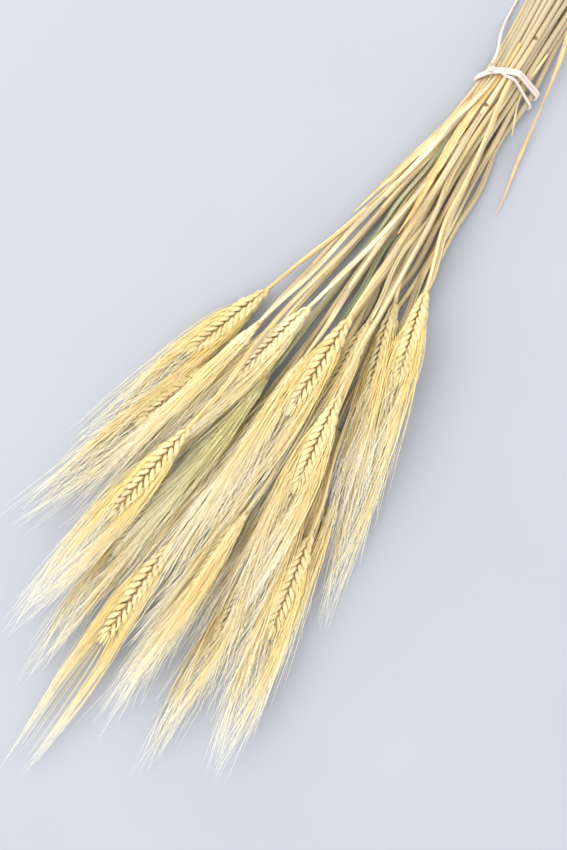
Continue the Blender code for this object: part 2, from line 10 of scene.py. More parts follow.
import bpy
import numpy as np
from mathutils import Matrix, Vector

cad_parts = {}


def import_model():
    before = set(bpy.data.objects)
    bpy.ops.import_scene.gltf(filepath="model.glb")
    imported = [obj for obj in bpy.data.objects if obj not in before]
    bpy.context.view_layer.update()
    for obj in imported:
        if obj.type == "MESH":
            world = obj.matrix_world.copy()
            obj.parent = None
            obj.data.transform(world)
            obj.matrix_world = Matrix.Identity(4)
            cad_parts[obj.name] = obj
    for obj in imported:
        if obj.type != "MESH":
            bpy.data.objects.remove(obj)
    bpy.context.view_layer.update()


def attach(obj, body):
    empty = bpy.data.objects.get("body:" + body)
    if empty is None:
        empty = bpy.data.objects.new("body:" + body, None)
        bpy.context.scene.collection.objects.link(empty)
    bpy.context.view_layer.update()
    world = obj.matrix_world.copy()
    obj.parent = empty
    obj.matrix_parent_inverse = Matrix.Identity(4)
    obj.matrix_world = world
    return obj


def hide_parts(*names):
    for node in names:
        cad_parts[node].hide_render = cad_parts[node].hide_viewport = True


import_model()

MM = 0.001
SEED = 23

# The stalks' plan, as in the part's source
STRAW_RADIUS = 1.75
CUT_END = 118.0
CUT_SPREAD = 14.0
EAR_TAPER = 0.32
EAR_WAIST = 0.14
EAR_TOP = 10.0
AWN_PAST_EAR = 58.0
AWN_PAST_EAR_LAST = 112.0
EAR_REACH = 7.7
BRUSH_REACH = 6.9
BRUSH_END_REACH = 4.0
EAR_SWELL = 9.0
EAR_SWELL_LEAD = 0.6
LEAN_TO_TIE = 0.45
WIDEST_EAR = 48.0
TIE_FLARE = 0.0010
MIDDLE_LAYER = 1.1
RISE_FROM = 20.0
DROOP = 0.35
DROOP_RUN = 120.0

# The leaves' plan
LEAF_CURL = 0.22
LEAF_FOLD = 0.9
LEAF_MARGIN = 0.15
LEAF_GATHER = 0.35
LEAF_GATHER_FROM = 8.0
LEAF_GATHER_RUN = 36.0
LEAF_ROOT = (0.4, 1.6)
LEAF_POINT = (0.12, 2.2)

# The string's plan
STRING_RADIUS = 1.25
STRAND_SHIFT = 2.2
WRAP_RADIUS = 1.05
STRING_CLEARANCE = 0.5
STRING_NEAR = (-14.0, -7.0, 0.0, 7.0)
STRING_SINK = 0.5
BAND_S = -8.5
BAND_TILT = -0.22
BAND_LEAN = 0.452
BAND_TOP = 22.0
WRAP_S = 1.5
WRAP_TILT = -0.45
WRAP_TO_KNOT = 3.5
WRAP_TURN_FROM = -3.0
WRAP_TURN_ABOVE = 8.0
WRAP_TURN_RUN = 12.0
KNOT_ANGLE = 137.0
KNOT_RADII = (3.2, 3.6, 2.5)
TAIL_RADIUS = 0.95
TAIL_ROUTE = [
    (-17.6, 7.4, 20.35), (-17.75, 11.3, 20.5), (-18.5, 15.6, 19.9), (-19.7, 20.0, 18.2),
    (-21.0, 24.0, 14.9), (-22.3, 28.0, 10.9), (-23.6, 33.0, 6.5), (-24.6, 39.0, 3.1),
    (-25.3, 46.0, 1.6), (-25.8, 54.0, 1.15), (-26.3, 63.0, 1.1), (-26.9, 73.0, 1.1),
    (-27.8, 84.0, 1.1), (-29.2, 95.0, 1.1), (-31.0, 106.0, 1.1),
]

# Settling, as in the part's source
STEP = 35.0
FIRST = -140.0
LAST = 630.0
SLICES_A_STEP = 4
TURNS = 1200
QUIET_TURNS = 500
GAP = 0.55
TIE_HALF_WIDTH = 14.5
TIE_MIDDLE = 10.0
TIE_LAYER = 3.4
TIE_REACH = 20.0
SQUEEZE = (0.09, 0.09)
SINK = 0.10
PULL = 0.05
LEAF_PULL = 0.03
SMOOTHING = 0.25
PUSH = 0.8
LAYER_HEIGHT = 12.5

# One row a stalk: s and x where the ear begins, lean in x for each mm of s, layer, ear
# length, roll of the ear in degrees, tint
STALKS = [
    (205, -58, -0.34, 1.0, 74, 10, "golden"),
    (265, -76, -0.36, 1.0, 74, 0, "golden"),
    (229, -58, -0.26, 1.8, 74, 80, "pale"),
    (201, -30, -0.27, 2.0, 74, 25, "pale"),
    (193, -12, 0.00, 2.6, 80, 0, "golden"),
    (233, -22, -0.02, 1.6, 74, 75, "pale"),
    (209, -19, -0.05, 0.9, 70, 30, "green"),
    (188, 6, 0.04, 1.6, 74, 60, "straw"),
    (150, 14, 0.28, 2.4, 70, 15, "golden"),
    (167, 14, 0.27, 1.3, 72, 50, "golden"),
    (315, -64, -0.17, 1.7, 86, 0, "golden"),
    (390, -32, -0.06, 1.4, 86, 8, "golden"),
    (344, -8, 0.00, 1.5, 76, 70, "straw"),
    (294, -10, -0.06, 1.7, 74, 20, "golden"),
    (354, 22, 0.06, 1.2, 78, 40, "golden"),
    (334, 43, 0.21, 1.0, 78, 0, "golden"),
    (302, 20, 0.14, 1.5, 74, 20, "straw"),
    (257, -36, -0.10, 1.3, 72, 65, "green"),
    (212, 33, 0.27, 1.0, 74, 30, "golden"),
    (243, 13, 0.13, 2.4, 74, 10, "straw"),
    (255, -52, -0.20, 0.2, 70, 40, "straw"),
    (290, -28, -0.10, 0.2, 72, 70, "straw"),
    (262, 31, 0.16, 0.3, 70, 55, "straw"),
    (300, 41, 0.20, 0.2, 72, 80, "straw"),
    (330, 2, 0.03, 0.3, 74, 45, "straw"),
    (345, -46, -0.12, 0.3, 74, 35, "straw"),
    (272, 4, 0.02, 0.9, 72, 65, "golden"),
]

# One row a leaf: name, tint, half width, then its route as (s, x, z)
LEAVES = [
    ("leaf_left", "leaf_pale", 2.6,
     [(-13, -13, 13), (11, -13, 13), (50, -23, 12), (74, -29, 9), (131, -47, 4)]),
    ("leaf_top", "leaf_orange", 3.0,
     [(-30, -8, 19), (0, -8, 18), (18, -9, 20), (50, -14, 22), (84, -10, 25), (128, -11, 29)]),
    ("leaf_right", "leaf_orange", 1.7,
     [(-100, 9, 15), (-70, 12, 14), (-40, 21, 9), (0, 28, 6), (22, 31, 4), (52, 36, 3), (78, 41, 2)]),
    ("leaf_short", "leaf_pale", 1.6,
     [(-34, 12, 14), (0, 11, 13), (27, 23, 9)]),
]
OUTSIDE_LEAF = "leaf_right"

# Straw: a thicker sheath below, a slimmer neck above, hollow where it is cut
STRAW_SIDES = 10
STRAW_STEP = 7.0
STRAW_NECK = 1.3
STRAW_FULL = 0.2
STRAW_SLIMS_FROM = 40.0
STRAW_SLIMS_POWER = 1.5
STRAW_HOLE = 1.15
STRAW_HOLE_DEPTH = 5.0
STRAW_GRAIN_STEP = 400.0
SHEATH_STEP = 0.2
SHEATH_LENGTH = (70.0, 120.0)
# Painted shade inside the hollow of the cut end: strongest deep in, faint at the rim
CUT_HOLLOW_SHADE = (0.8, 0.5, 0.2)

# Joints: most stand below the string, every third above it. The dark ones, by stalk, stand
# where they show, and are dark on their left side
JOINT_BELOW = (-86.0, -20.0)
JOINT_ABOVE = (14.0, 60.0)
JOINT_SWELL = 0.28
JOINT_HALF_LENGTH = 1.6
JOINT_RINGS = np.array([-2.0, -1.0, -0.5, 0.0, 0.5, 1.0, 2.0])
JOINT_MARK = 1.2
JOINT_FAR_SIDE = 0.35
DARK_JOINTS = {4: 19.6, 8: -38.0}
PALE_JOINT = 0.42

# Dried blades beside the straw
BLADES = 4
BLADE_STEP = 55.0
BLADE_SHORTEST = 45.0
BLADE_BEFORE_EAR = 8.0
BLADE_RINGS = 26
BLADE_CORNERS = 8
BLADE_START = (6.0, 70.0)
BLADE_LENGTH = (70.0, 130.0)
BLADE_HALF_WIDTH = (1.7, 2.6)
BLADE_ROOT = (0.5, 3.0)
BLADE_HALF_THICKNESS = 0.13
BLADE_CUP = 0.16
BLADE_GAP = 0.3
BLADE_TURN = (0.15, 0.85)
BLADE_TWIST = 0.6
BLADE_GRAIN = 300.0
BLADE_OLDEST = 0.5

# Husks: six rings of six corners each, in more spikelets than the solid has
HUSK_RINGS = np.array([0.03, 0.16, 0.36, 0.58, 0.80, 0.95])
HUSK_CORNERS = 6
HUSK_SWELL = 2.32
HUSK_KEEL = 0.25
HUSK_INNER = 0.35
HUSK_TURN = 0.12
HUSK_SLACK = 0.5
HUSK_SIDE_SLACK = 0.3
HUSK_GRAIN = 90.0
SPIKELETS = 12
EAR_FOOT = 0.5
EAR_FOOT_SHARE = 0.22

# One row a husk of a spikelet: (along, out, beside) of its root and of its tip, the facing
# as (out, beside), half width, depth, bow, and how many awns rise from it
HUSKS = [
    ((-1.0, 0.3, 1.6), (8.2, 4.3, 3.0), (0.3, 1.0), 1.85, 1.25, 0.8, 1),
    ((-1.0, 0.3, -1.6), (8.2, 4.3, -3.0), (0.3, -1.0), 1.85, 1.25, 0.8, 1),
    ((0.4, 1.4, 1.2), (10.8, 6.1, 1.9), (0.7, 0.8), 1.9, 1.5, 1.2, 2),
    ((0.4, 1.4, -1.2), (10.8, 6.1, -1.9), (0.7, -0.8), 1.9, 1.5, 1.2, 2),
    ((1.6, 2.2, 0.0), (11.4, 6.5, 0.0), (1.0, 0.0), 1.9, 1.4, 1.1, 1),
]

# The spikelet at the top: (along from the ear's end, out) of its roots and tips, then half
# width, depth and bow of its husks, and how its awns run
TOP_HUSKS = 5
TOP_TURN = 0.3
TOP_ROOT = (-10.5, 0.6)
TOP_TIP = (2.5, 2.3)
TOP_SHAPE = (1.6, 1.2, 0.8)
TOP_AWN_SHORTER = (4.0, 30.0)
TOP_AWN_OUT = 4.5
TOP_AWN_LEAD = 0.3

# The ear's own stem
CORE_BEFORE = 2.0
CORE_SHORT = 6.0
CORE_RINGS = 12
CORE_CORNERS = 8
CORE_RADII = (STRAW_NECK + 0.2, 1.2)
# The core reads the chaff finish at this share, so it takes a little of the husks' painted slit shade
CORE_STATE = (0.25, 0.4)

# Awns: their ends' mean and spread out of the ear's axis, and their spread beside it
AWN_RINGS = 10
AWN_BASE_RADIUS = 0.29
AWN_TIP_RADIUS = 0.075
AWN_THICKNESS = (0.85, 1.15)
AWN_LEAD = (0.14, 0.34)
AWN_OUT = (3.0, 6.5)
AWN_BESIDE = 6.0
AWN_FURTHEST = 15.0
AWN_CLOSING = 0.22
AWN_SHORTER = 72.0
AWN_LONGER = 6.0
AWN_ROOT_BACK = (0.5, 3.0)
AWN_ROOT_SIDE = 0.5
FLOOR_CLEAR = 0.12

# Stalks whose awns part in two bundles, with their own spreads
PARTED = {11: ((9.5, 1.5), 1.5)}

# Leaves: a thin strip with two waves along its edge (height, run), a crease and nicks
LEAF_RINGS = 90
LEAF_CORNERS = 18
LEAF_HALF_THICKNESS = 0.14
LEAF_WAVES = ((0.18, 6.5), (0.12, 3.1))
LEAF_CREASE = (0.12, 0.18)
LEAF_NICK = (0.06, 2.3)

# Plies of the string
PLIES = 3
PLY_CORNERS = 7
PLY_TURN = 6.5
PLY_OFFSET = 0.50
PLY_RADIUS = 0.56
PLY_FUZZ = 0.07
PLY_POINTS_A_TURN = 12
LOOP_POINTS = 160
LOOP_SMOOTHING = 6
KNOT_POINTS = 120
TAIL_POINTS = 90

# The photograph's view: straight down, turned so that the bunch runs from corner to corner
VIEW_TURN = math.radians(31.75)
VIEW_CENTRE = (-0.0085, -0.281)
VIEW_HEIGHT = 1.6
VIEW_LONG_SIDE = 0.595
SENSOR = 36.0
FLOOR_HALF = 3.0


def ease(value):
    """Smooth step from 0 to 1: three times the square less twice the cube."""
    value = np.clip(value, 0.0, 1.0)
    return value * value * (3.0 - 2.0 * value)


def linear(hex_colour):
    """Linear RGBA of an sRGB hex colour."""
    parts = [int(hex_colour[i:i + 2], 16) / 255.0 for i in (1, 3, 5)]
    return (*[c / 12.92 if c <= 0.04045 else ((c + 0.055) / 1.055) ** 2.4 for c in parts], 1.0)


def cut_distance(index):
    """How far before the string a stalk is cut: a fixed shuffle of the spread."""
    return -(CUT_END + CUT_SPREAD * ((index * 7) % 10) / 9.0)


def awn_end(row):
    """Distance from the ear's base to its furthest awn tip."""
    return row[4] + AWN_PAST_EAR_LAST


def stalk_reach(index, row, s):
    """Radius that a stalk needs in each slice, or 0 where it isn't."""
    begin, lean, length = row[0], row[2], row[4]
    stretch = math.sqrt(1.0 + lean * lean)
    t = (s - begin) * stretch
    reach = STRAW_RADIUS + (EAR_REACH - STRAW_RADIUS) * ease(t / EAR_SWELL + EAR_SWELL_LEAD)
    reach = reach + (BRUSH_REACH - EAR_REACH) * ease((t - length) / AWN_PAST_EAR)
    past = (t - length - AWN_PAST_EAR) / (AWN_PAST_EAR_LAST - AWN_PAST_EAR)
    reach = reach + (BRUSH_END_REACH - BRUSH_REACH) * ease(past)
    there = (s > cut_distance(index) - 2.0) & (t < awn_end(row) + 2.0)
    return np.where(there, reach * stretch, 0.0)


def stalk_wish(row, s):
    """Wished place of a stalk: a bend from the string to the ear, then a straight line."""
    begin, across, lean, layer = row[:4]
    at_tie = TIE_HALF_WIDTH * np.clip((across - lean * begin * LEAN_TO_TIE) / WIDEST_EAR, -1.0, 1.0)
    t = np.clip(s / begin, 0.0, 1.0)
    first_lean = (across - at_tie) / begin
    bend = (2 * t**3 - 3 * t**2 + 1) * at_tie + (t**3 - 2 * t**2 + t) * begin * first_lean
    bend = bend + (3 * t**2 - 2 * t**3) * across + (t**3 - t**2) * begin * lean
    x = np.where(s > begin, across + lean * (s - begin), bend)
    x = np.where(s < 0.0, at_tie * (1.0 - TIE_FLARE * s), x)
    tie_z = TIE_MIDDLE + TIE_LAYER * (layer - MIDDLE_LAYER)
    ear_z = EAR_REACH + LAYER_HEIGHT * layer
    z = tie_z + (ear_z - tie_z) * ease((s - RISE_FROM) / (begin - RISE_FROM))
    droop = ease((s - begin - row[4]) / DROOP_RUN)
    z = z - DROOP * (ear_z - EAR_REACH) * droop
    return np.stack([x, z], axis=-1)


def route_wish(route, s):
    """Wished place of a leaf, read from its route."""
    at, x, z = np.array(route, dtype=float).T
    return np.stack([np.interp(s, at, x), np.interp(s, at, z)], axis=-1)


def leaf_width(row, s):
    """Half the width of a leaf at s: gathered at the string and narrow at both ends."""
    half_width, route = row[2], row[3]
    begin, end = route[0][0], route[-1][0]
    share = (s - begin) / (end - begin)
    loose = ease((np.abs(s) - LEAF_GATHER_FROM) / LEAF_GATHER_RUN)
    gather = LEAF_GATHER + (1.0 - LEAF_GATHER) * loose
    root, point = LEAF_ROOT, LEAF_POINT
    ends = np.minimum(root[0] + root[1] * share, point[0] + point[1] * (1.0 - share))
    return half_width * np.clip(np.minimum(gather, ends), point[0], 1.0)


def leaf_reach(row, s):
    """Radius that a leaf needs in each slice, or 0 where it isn't."""
    there = (s > row[3][0][0] - 3.0) & (s < row[3][-1][0] + 3.0)
    return np.where(there, leaf_width(row, s) + LEAF_MARGIN, 0.0)


def blend_matrix(stations, slices):
    """Weights that turn places at the stations into places at the slices."""
    at = (slices - stations[0]) / STEP
    column = np.minimum(at.astype(int), len(stations) - 2)
    share = at - column
    weights = np.zeros((len(slices), len(stations)))
    rows = np.arange(len(slices))
    weights[rows, column] = 1.0 - share
    weights[rows, column + 1] = share
    return weights


def straighten(place, stations, begins, ends):
    """Lays each stalk's ear and awns on the straight line that fits them best."""
    weight = (stations >= begins[:, None] - STEP) & (stations <= ends[:, None] + STEP)
    weight = weight.astype(float)
    total = weight.sum(axis=1)
    middle = (weight * stations).sum(axis=1) / total
    offset = (stations - middle[:, None]) * weight
    spread = (offset * offset).sum(axis=1)
    mean = (weight[:, :, None] * place).sum(axis=1) / total[:, None]
    lean = (offset[:, :, None] * place).sum(axis=1) / spread[:, None]
    line = mean[:, None] + lean[:, None] * (stations - middle[:, None])[:, :, None]
    return np.where(weight[:, :, None] > 0.0, line, place)


def settle():
    """Settled places of all stalks and leaves, one (x, z) for each station.

    In slices across the bunch each piece is a circle of its own reach. Circles push each
    other apart while they sink to the table and are drawn to their wished places.
    """
    stations = np.arange(FIRST, LAST + 1.0, STEP)
    slices = np.arange(FIRST, LAST + 1.0, STEP / SLICES_A_STEP)
    weights = blend_matrix(stations, slices)
    wish = [stalk_wish(row, stations) for row in STALKS]
    wish += [route_wish(row[3], stations) for row in LEAVES]
    reach = [stalk_reach(index, row, slices) for index, row in enumerate(STALKS)]
    reach += [leaf_reach(row, slices) for row in LEAVES]
    wish = np.array(wish)
    reach = np.array(reach)
    begins = np.array([row[0] for row in STALKS], dtype=float)
    ends = begins + np.array([awn_end(row) for row in STALKS])
    count = len(STALKS)
    there = reach > 0.0
    both = there[:, None] & there[None, :] & ~np.eye(len(reach), dtype=bool)[:, :, None]
    need = np.where(both, reach[:, None] + reach[None, :] + GAP, 0.0)
    lifted = 2.0 * STRING_RADIUS - STRING_SINK + STRING_CLEARANCE
    floor = np.where(np.abs(slices) < TIE_REACH, lifted, 0.0)
    tied = np.flatnonzero(np.abs(stations) < TIE_REACH)
    held = [i for i in range(len(reach)) if i < count or LEAVES[i - count][0] != OUTSIDE_LEAF]
    place = wish.copy()
    for turn in range(TURNS + QUIET_TURNS):
        calm = max(0.0, 1.0 - turn / TURNS)
        place[:count, :, 0] += PULL * calm * (wish[:count, :, 0] - place[:count, :, 0])
        place[count:] += LEAF_PULL * (wish[count:] - place[count:])
        place[:count, :, 1] -= SINK * calm
        squeeze = calm * np.array(SQUEEZE) * ((0.0, TIE_MIDDLE) - place[np.ix_(held, tied)])
        place[np.ix_(held, tied)] += squeeze
        middle = 0.5 * (place[:, :-2] + place[:, 2:])
        place[:, 1:-1] += SMOOTHING * calm * (middle - place[:, 1:-1])
        centre = np.einsum("st,ntc->nsc", weights, place)
        apart = centre[:, None] - centre[None, :]
        distance = np.sqrt((apart * apart).sum(axis=-1)) + 1e-6
        lack = np.clip(need - distance, 0.0, None)
        push = (0.5 * lack / distance)[..., None] * apart
        move = push.sum(axis=1)
        move[:, :, 1] += np.clip(reach + floor - centre[:, :, 1], 0.0, None)
        active = (np.abs(move).sum(axis=-1) > 1e-5).astype(float)
        share = np.einsum("st,ns->nt", weights, active)
        total = np.einsum("st,nsc->ntc", weights, move)
        place += PUSH * total / np.maximum(share, 1e-6)[:, :, None]
        place[:count] = straighten(place[:count], stations, begins, ends)
    return stations, place


def smooth_curve(points, at):
    """Catmull-Rom curve through evenly numbered points, at fractions of their numbers."""
    points = np.asarray(points, dtype=float)
    padded = np.vstack([2 * points[0] - points[1], points, 2 * points[-1] - points[-2]])
    k = np.clip(np.floor(at).astype(int), 0, len(points) - 2)
    u = (at - k)[:, None]
    a, b, c, d = padded[k], padded[k + 1], padded[k + 2], padded[k + 3]
    curve = 2 * b + (c - a) * u + (2 * a - 5 * b + 4 * c - d) * u**2
    return 0.5 * (curve + (3 * b - a - 3 * c + d) * u**3)


def path_points(stations, place, s):
    """Places (x, -s, z) of a settled path at distances s, on a smooth curve."""
    xz = smooth_curve(place, (s - stations[0]) / STEP)
    return np.column_stack([xz[:, 0], -s, xz[:, 1]])


def unit(vectors):
    """The vectors at length 1."""
    return vectors / np.linalg.norm(vectors, axis=-1, keepdims=True)


def headings(centres):
    """Unit directions along lines of points."""
    return unit(np.gradient(centres, axis=-2))


def frames_along(heading, roll):
    """Across and up from headings, turned about them by a roll in degrees.

    Across is the heading crossed with the vertical, on the +X side, up is the heading
    crossed with across, and the roll turns across towards up.
    """
    across = unit(np.cross(heading, (0.0, 0.0, 1.0)))
    across = np.where(across[..., :1] < 0.0, -across, across)
    up = np.cross(heading, across)
    turn = math.radians(roll)
    return (math.cos(turn) * across + math.sin(turn) * up,
            math.cos(turn) * up - math.sin(turn) * across)


class Skin:
    """Surfaces gathered for one piece, each with its grain, its state and its material.

    Grain is a place in millimetres in the surface's own directions, and state holds the
    share along it, a random shade and how far a dark mark shows, which on straw is a joint's
    own colour and painted shade inside the cut hollow. The materials read both.
    """

    def __init__(self):
        self.count = 0
        self.verts, self.grain, self.state = [], [], []
        self.quads, self.tris = [], []
        self.quad_slots, self.tri_slots = [], []

    def add(self, places, grain, state, slot, wrap_rows=False):
        """Adds closed tubes: arrays of (copies, rings, corners, 3).

        Corners go round from across to up. The ends close in a fan to the middle of the
        last ring, or the rings join up where wrap_rows is set.
        """
        copies, rings, corners = places.shape[:3]
        size = rings * corners + (0 if wrap_rows else 2)
        numbers = np.arange(rings * corners).reshape(rings, corners)
        after = np.roll(numbers, -1, axis=1)
        if wrap_rows:
            low, high = numbers, np.roll(numbers, -1, axis=0)
            low_next, high_next = after, np.roll(after, -1, axis=0)
        else:
            low, high, low_next, high_next = numbers[:-1], numbers[1:], after[:-1], after[1:]
        quads = np.stack([low, low_next, high_next, high], axis=-1).reshape(-1, 4)
        starts = self.count + size * np.arange(copies)
        self.quads.append((quads[None] + starts[:, None, None]).reshape(-1, 4))
        self.quad_slots.append(np.full(copies * len(quads), slot))
        if not wrap_rows:
            first = np.full(corners, rings * corners)
            last = first + 1
            fans = np.concatenate([
                np.stack([first, after[0], numbers[0]], axis=-1),
                np.stack([last, numbers[-1], after[-1]], axis=-1),
            ])
            self.tris.append((fans[None] + starts[:, None, None]).reshape(-1, 3))
            self.tri_slots.append(np.full(copies * len(fans), slot))
        for kept, values in ((self.verts, places), (self.grain, grain), (self.state, state)):
            values = np.broadcast_to(values, (copies, rings, corners, 3))
            flat = values.reshape(copies, rings * corners, 3)
            if not wrap_rows:
                ends = values[:, [0, -1]].mean(axis=2)
                flat = np.concatenate([flat, ends], axis=1)
            kept.append(flat.reshape(-1, 3))
        self.count += copies * size

    def make(self, name, materials):
        """The piece's object, with smooth faces, its place in its mesh."""
        verts = np.concatenate(self.verts)
        verts[:, 2] = np.maximum(verts[:, 2], 0.02)
        quads = np.concatenate(self.quads)
        tris = np.concatenate(self.tris) if self.tris else np.zeros((0, 3), dtype=int)
        mesh = bpy.data.meshes.new(name)
        mesh.vertices.add(len(verts))
        mesh.vertices.foreach_set("co", (verts * MM).astype(np.float32).ravel())
        mesh.loops.add(quads.size + tris.size)
        corners = np.concatenate([quads.ravel(), tris.ravel()])
        mesh.loops.foreach_set("vertex_index", corners.astype(np.int32))
        mesh.polygons.add(len(quads) + len(tris))
        starts = np.concatenate([np.arange(len(quads)) * 4, quads.size + np.arange(len(tris)) * 3])
        mesh.polygons.foreach_set("loop_start", starts.astype(np.int32))
        slots = np.concatenate(self.quad_slots + self.tri_slots)
        mesh.polygons.foreach_set("material_index", slots.astype(np.int32))
        mesh.polygons.foreach_set("use_smooth", np.ones(len(starts), dtype=bool))
        for attribute, values in (("grain", self.grain), ("state", self.state)):
            layer = mesh.attributes.new(attribute, "FLOAT_VECTOR", "POINT")
            layer.data.foreach_set("vector", np.concatenate(values).astype(np.float32).ravel())
        mesh.update(calc_edges=True)
        mesh.validate()
        for material in materials:
            mesh.materials.append(material)
        made = bpy.data.objects.new(name, mesh)
        bpy.context.scene.collection.objects.link(made)
        return made


def stand_in(made, node):
    """The piece takes its node's place on the bunch's one body, and its node's solid is hidden."""
    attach(made, "root")
    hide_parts(node)


def round_angles(corners):
    """Even angles round a full turn."""
    return np.linspace(0.0, 2.0 * math.pi, corners, endpoint=False)


def tube(centres, across, up, radii, corners):
    """Rings round a line: centre plus radius times (across cos a + up sin a).

    Gives the places and the same offsets as grain, with the length run as the middle axis.
    """
    angle = round_angles(corners)
    wide = radii[..., None] * np.cos(angle)
    high = radii[..., None] * np.sin(angle)
    places = centres[..., None, :] + across[..., None, :] * wide[..., None]
    places = places + up[..., None, :] * high[..., None]
    step = np.linalg.norm(np.diff(centres, axis=-2), axis=-1)
    run = np.concatenate([np.zeros_like(step[..., :1]), np.cumsum(step, axis=-1)], axis=-1)
    grain = np.stack([wide, np.broadcast_to(run[..., None], wide.shape), high], axis=-1)
    return places, grain


def add_straw(skin, row, index, stations, place, draw):
    """The straw: a tube that steps in above its sheath, with a swollen joint and a hole.

    From 40 mm past the string to the ear the radius falls to the neck's with the power 1.5
    of the way gone. A joint adds a bell curve, and the sheath adds its step up to its end.
    """
    begin, roll = row[0], row[5]
    cut = cut_distance(index)
    joint = draw.uniform(*(JOINT_BELOW if index % 3 else JOINT_ABOVE))
    joint = DARK_JOINTS.get(index, joint)
    sheath_end = joint + draw.uniform(*SHEATH_LENGTH)
    marks = np.concatenate([joint + JOINT_RINGS * JOINT_HALF_LENGTH, [sheath_end - 0.3, sheath_end + 0.3]])
    s = np.sort(np.concatenate([np.arange(cut, begin + 1.0, STRAW_STEP), marks, [begin + 1.0]]))
    bell = np.exp(-(((s - joint) / JOINT_HALF_LENGTH) ** 2))
    slim = np.clip((s - STRAW_SLIMS_FROM) / (begin - STRAW_SLIMS_FROM), 0.0, 1.0) ** STRAW_SLIMS_POWER
    wide = STRAW_RADIUS + STRAW_FULL - SHEATH_STEP
    radii = wide + (STRAW_NECK - wide) * slim
    radii = radii + SHEATH_STEP * (s < sheath_end) * (1.0 - slim) + JOINT_SWELL * bell
    hole_s = np.array([cut + STRAW_HOLE_DEPTH, cut + 0.3, cut])
    hole_radii = np.array([STRAW_HOLE, STRAW_HOLE, STRAW_HOLE + 0.1])
    all_s = np.concatenate([hole_s, s])
    all_radii = np.concatenate([hole_radii, radii])
    centres = path_points(stations, place, all_s)
    heading = path_points(stations, place, all_s + 3.0) - path_points(stations, place, all_s - 3.0)
    across, up = frames_along(unit(heading), roll)
    places, grain = tube(centres[None], across[None], up[None], all_radii[None], STRAW_SIDES)
    grain[..., 1] = all_s[None, :, None] + STRAW_GRAIN_STEP * index
    state = np.zeros(places.shape)
    state[..., 0] = ease((all_s - cut) / (begin - cut))[None, :, None]
    state[..., 1] = draw.uniform(0.0, 1.0)
    dark = 1.0 if index in DARK_JOINTS else PALE_JOINT
    # Dark marks: painted shade in the cut hollow, then each joint's own dark ring
    mark = np.concatenate([CUT_HOLLOW_SHADE, np.clip(bell * JOINT_MARK, 0.0, 1.0) * dark])
    left = 0.5 - 0.5 * (places[..., 0] - centres[None, :, None, 0]) / all_radii[None, :, None]
    state[..., 2] = mark[None, :, None] * (JOINT_FAR_SIDE + (1.0 - JOINT_FAR_SIDE) * ease(left))
    skin.add(places, grain, state, 0)


def add_blade(skin, row, order, stations, place, draw):
    """A dried blade beside the straw: a cupped ribbon at its own angle round it.

    Its width is half at its root, soon full, and then falls with the root of what is left of
    its length. At the share v across, from -1 to 1, it bends to the straw by its cup times
    its width times v squared.
    """
    start = order * BLADE_STEP + draw.uniform(*BLADE_START)
    end = min(start + draw.uniform(*BLADE_LENGTH), row[0] - BLADE_BEFORE_EAR)
    if end - start < BLADE_SHORTEST:
        return
    s = np.linspace(start, end, BLADE_RINGS)
    share = np.linspace(0.0, 1.0, BLADE_RINGS)
    centres = path_points(stations, place, s)
    heading = headings(centres)
    across, up = frames_along(heading, 0.0)
    up = np.where(up[:, 2:] < 0.0, -up, up)
    turn = draw.uniform(*BLADE_TURN) * math.pi + draw.uniform(-BLADE_TWIST, BLADE_TWIST) * share
    out = across * np.cos(turn)[:, None] + up * np.sin(turn)[:, None]
    beside = np.cross(heading, out)
    root = np.minimum(1.0, BLADE_ROOT[0] + BLADE_ROOT[1] * share)
    width = draw.uniform(*BLADE_HALF_WIDTH) * root * np.sqrt(1.0 - share) + BLADE_HALF_THICKNESS
    centres = centres + out * (STRAW_RADIUS + BLADE_GAP)
    angle = round_angles(BLADE_CORNERS)
    v = np.cos(angle)
    wide = width[:, None] * v
    lift = BLADE_HALF_THICKNESS * np.sin(angle) - BLADE_CUP * width[:, None] * v * v
    places = centres[:, None] + beside[:, None] * -wide[..., None] + out[:, None] * lift[..., None]
    grain = np.stack([wide, np.broadcast_to(s[:, None], wide.shape), lift], axis=-1)
    grain = grain + draw.uniform(0.0, BLADE_GRAIN)
    state = np.zeros(places.shape)
    state[..., 0] = share[:, None]
    state[..., 1] = draw.uniform(0.0, BLADE_OLDEST)
    skin.add(places[None], grain[None], state[None], 0)


def husk_surfaces(root, tip, out, half_width, depth, bow):
    """Boat-shaped husks, closed all round: arrays of (copies, rings, corners, 3).

    Along the share u the half width is 2.32 times u to the power 0.5 times (1 - u) to the
    power 0.75, of its greatest. The outer side is that wide and its depth high, with a keel
    that stands out with the sixth power of the sine. The inner side is a third as deep. The
    middle line bows outwards with the sine of half a turn. Gives places, grain and u.
    """
    along = unit(tip - root)
    out = unit(out - along * (out * along).sum(axis=-1, keepdims=True))
    side = np.cross(out, along)
    length = np.linalg.norm(tip - root, axis=-1)
    u = HUSK_RINGS
    swell = HUSK_SWELL * u**0.5 * (1.0 - u) ** 0.75
    angle = round_angles(HUSK_CORNERS)
    rise = np.where(np.sin(angle) > 0.0, 1.0, HUSK_INNER) * np.sin(angle)
    rise = rise + HUSK_KEEL * np.clip(np.sin(angle), 0.0, 1.0) ** 6
    wide = half_width[:, None, None] * swell[:, None] * np.cos(angle)
    high = depth[:, None, None] * swell[:, None] * rise
    lift = bow[:, None, None] * np.sin(math.pi * u)[:, None]
    run = length[:, None, None] * u[:, None] + np.zeros_like(wide)
    places = root[:, None, None] + along[:, None, None] * run[..., None]
    places = places + side[:, None, None] * wide[..., None]
    places = places + out[:, None, None] * (high + lift)[..., None]
    grain = np.stack([wide, run, high], axis=-1)
    return places, grain, np.broadcast_to(u[:, None], wide.shape)


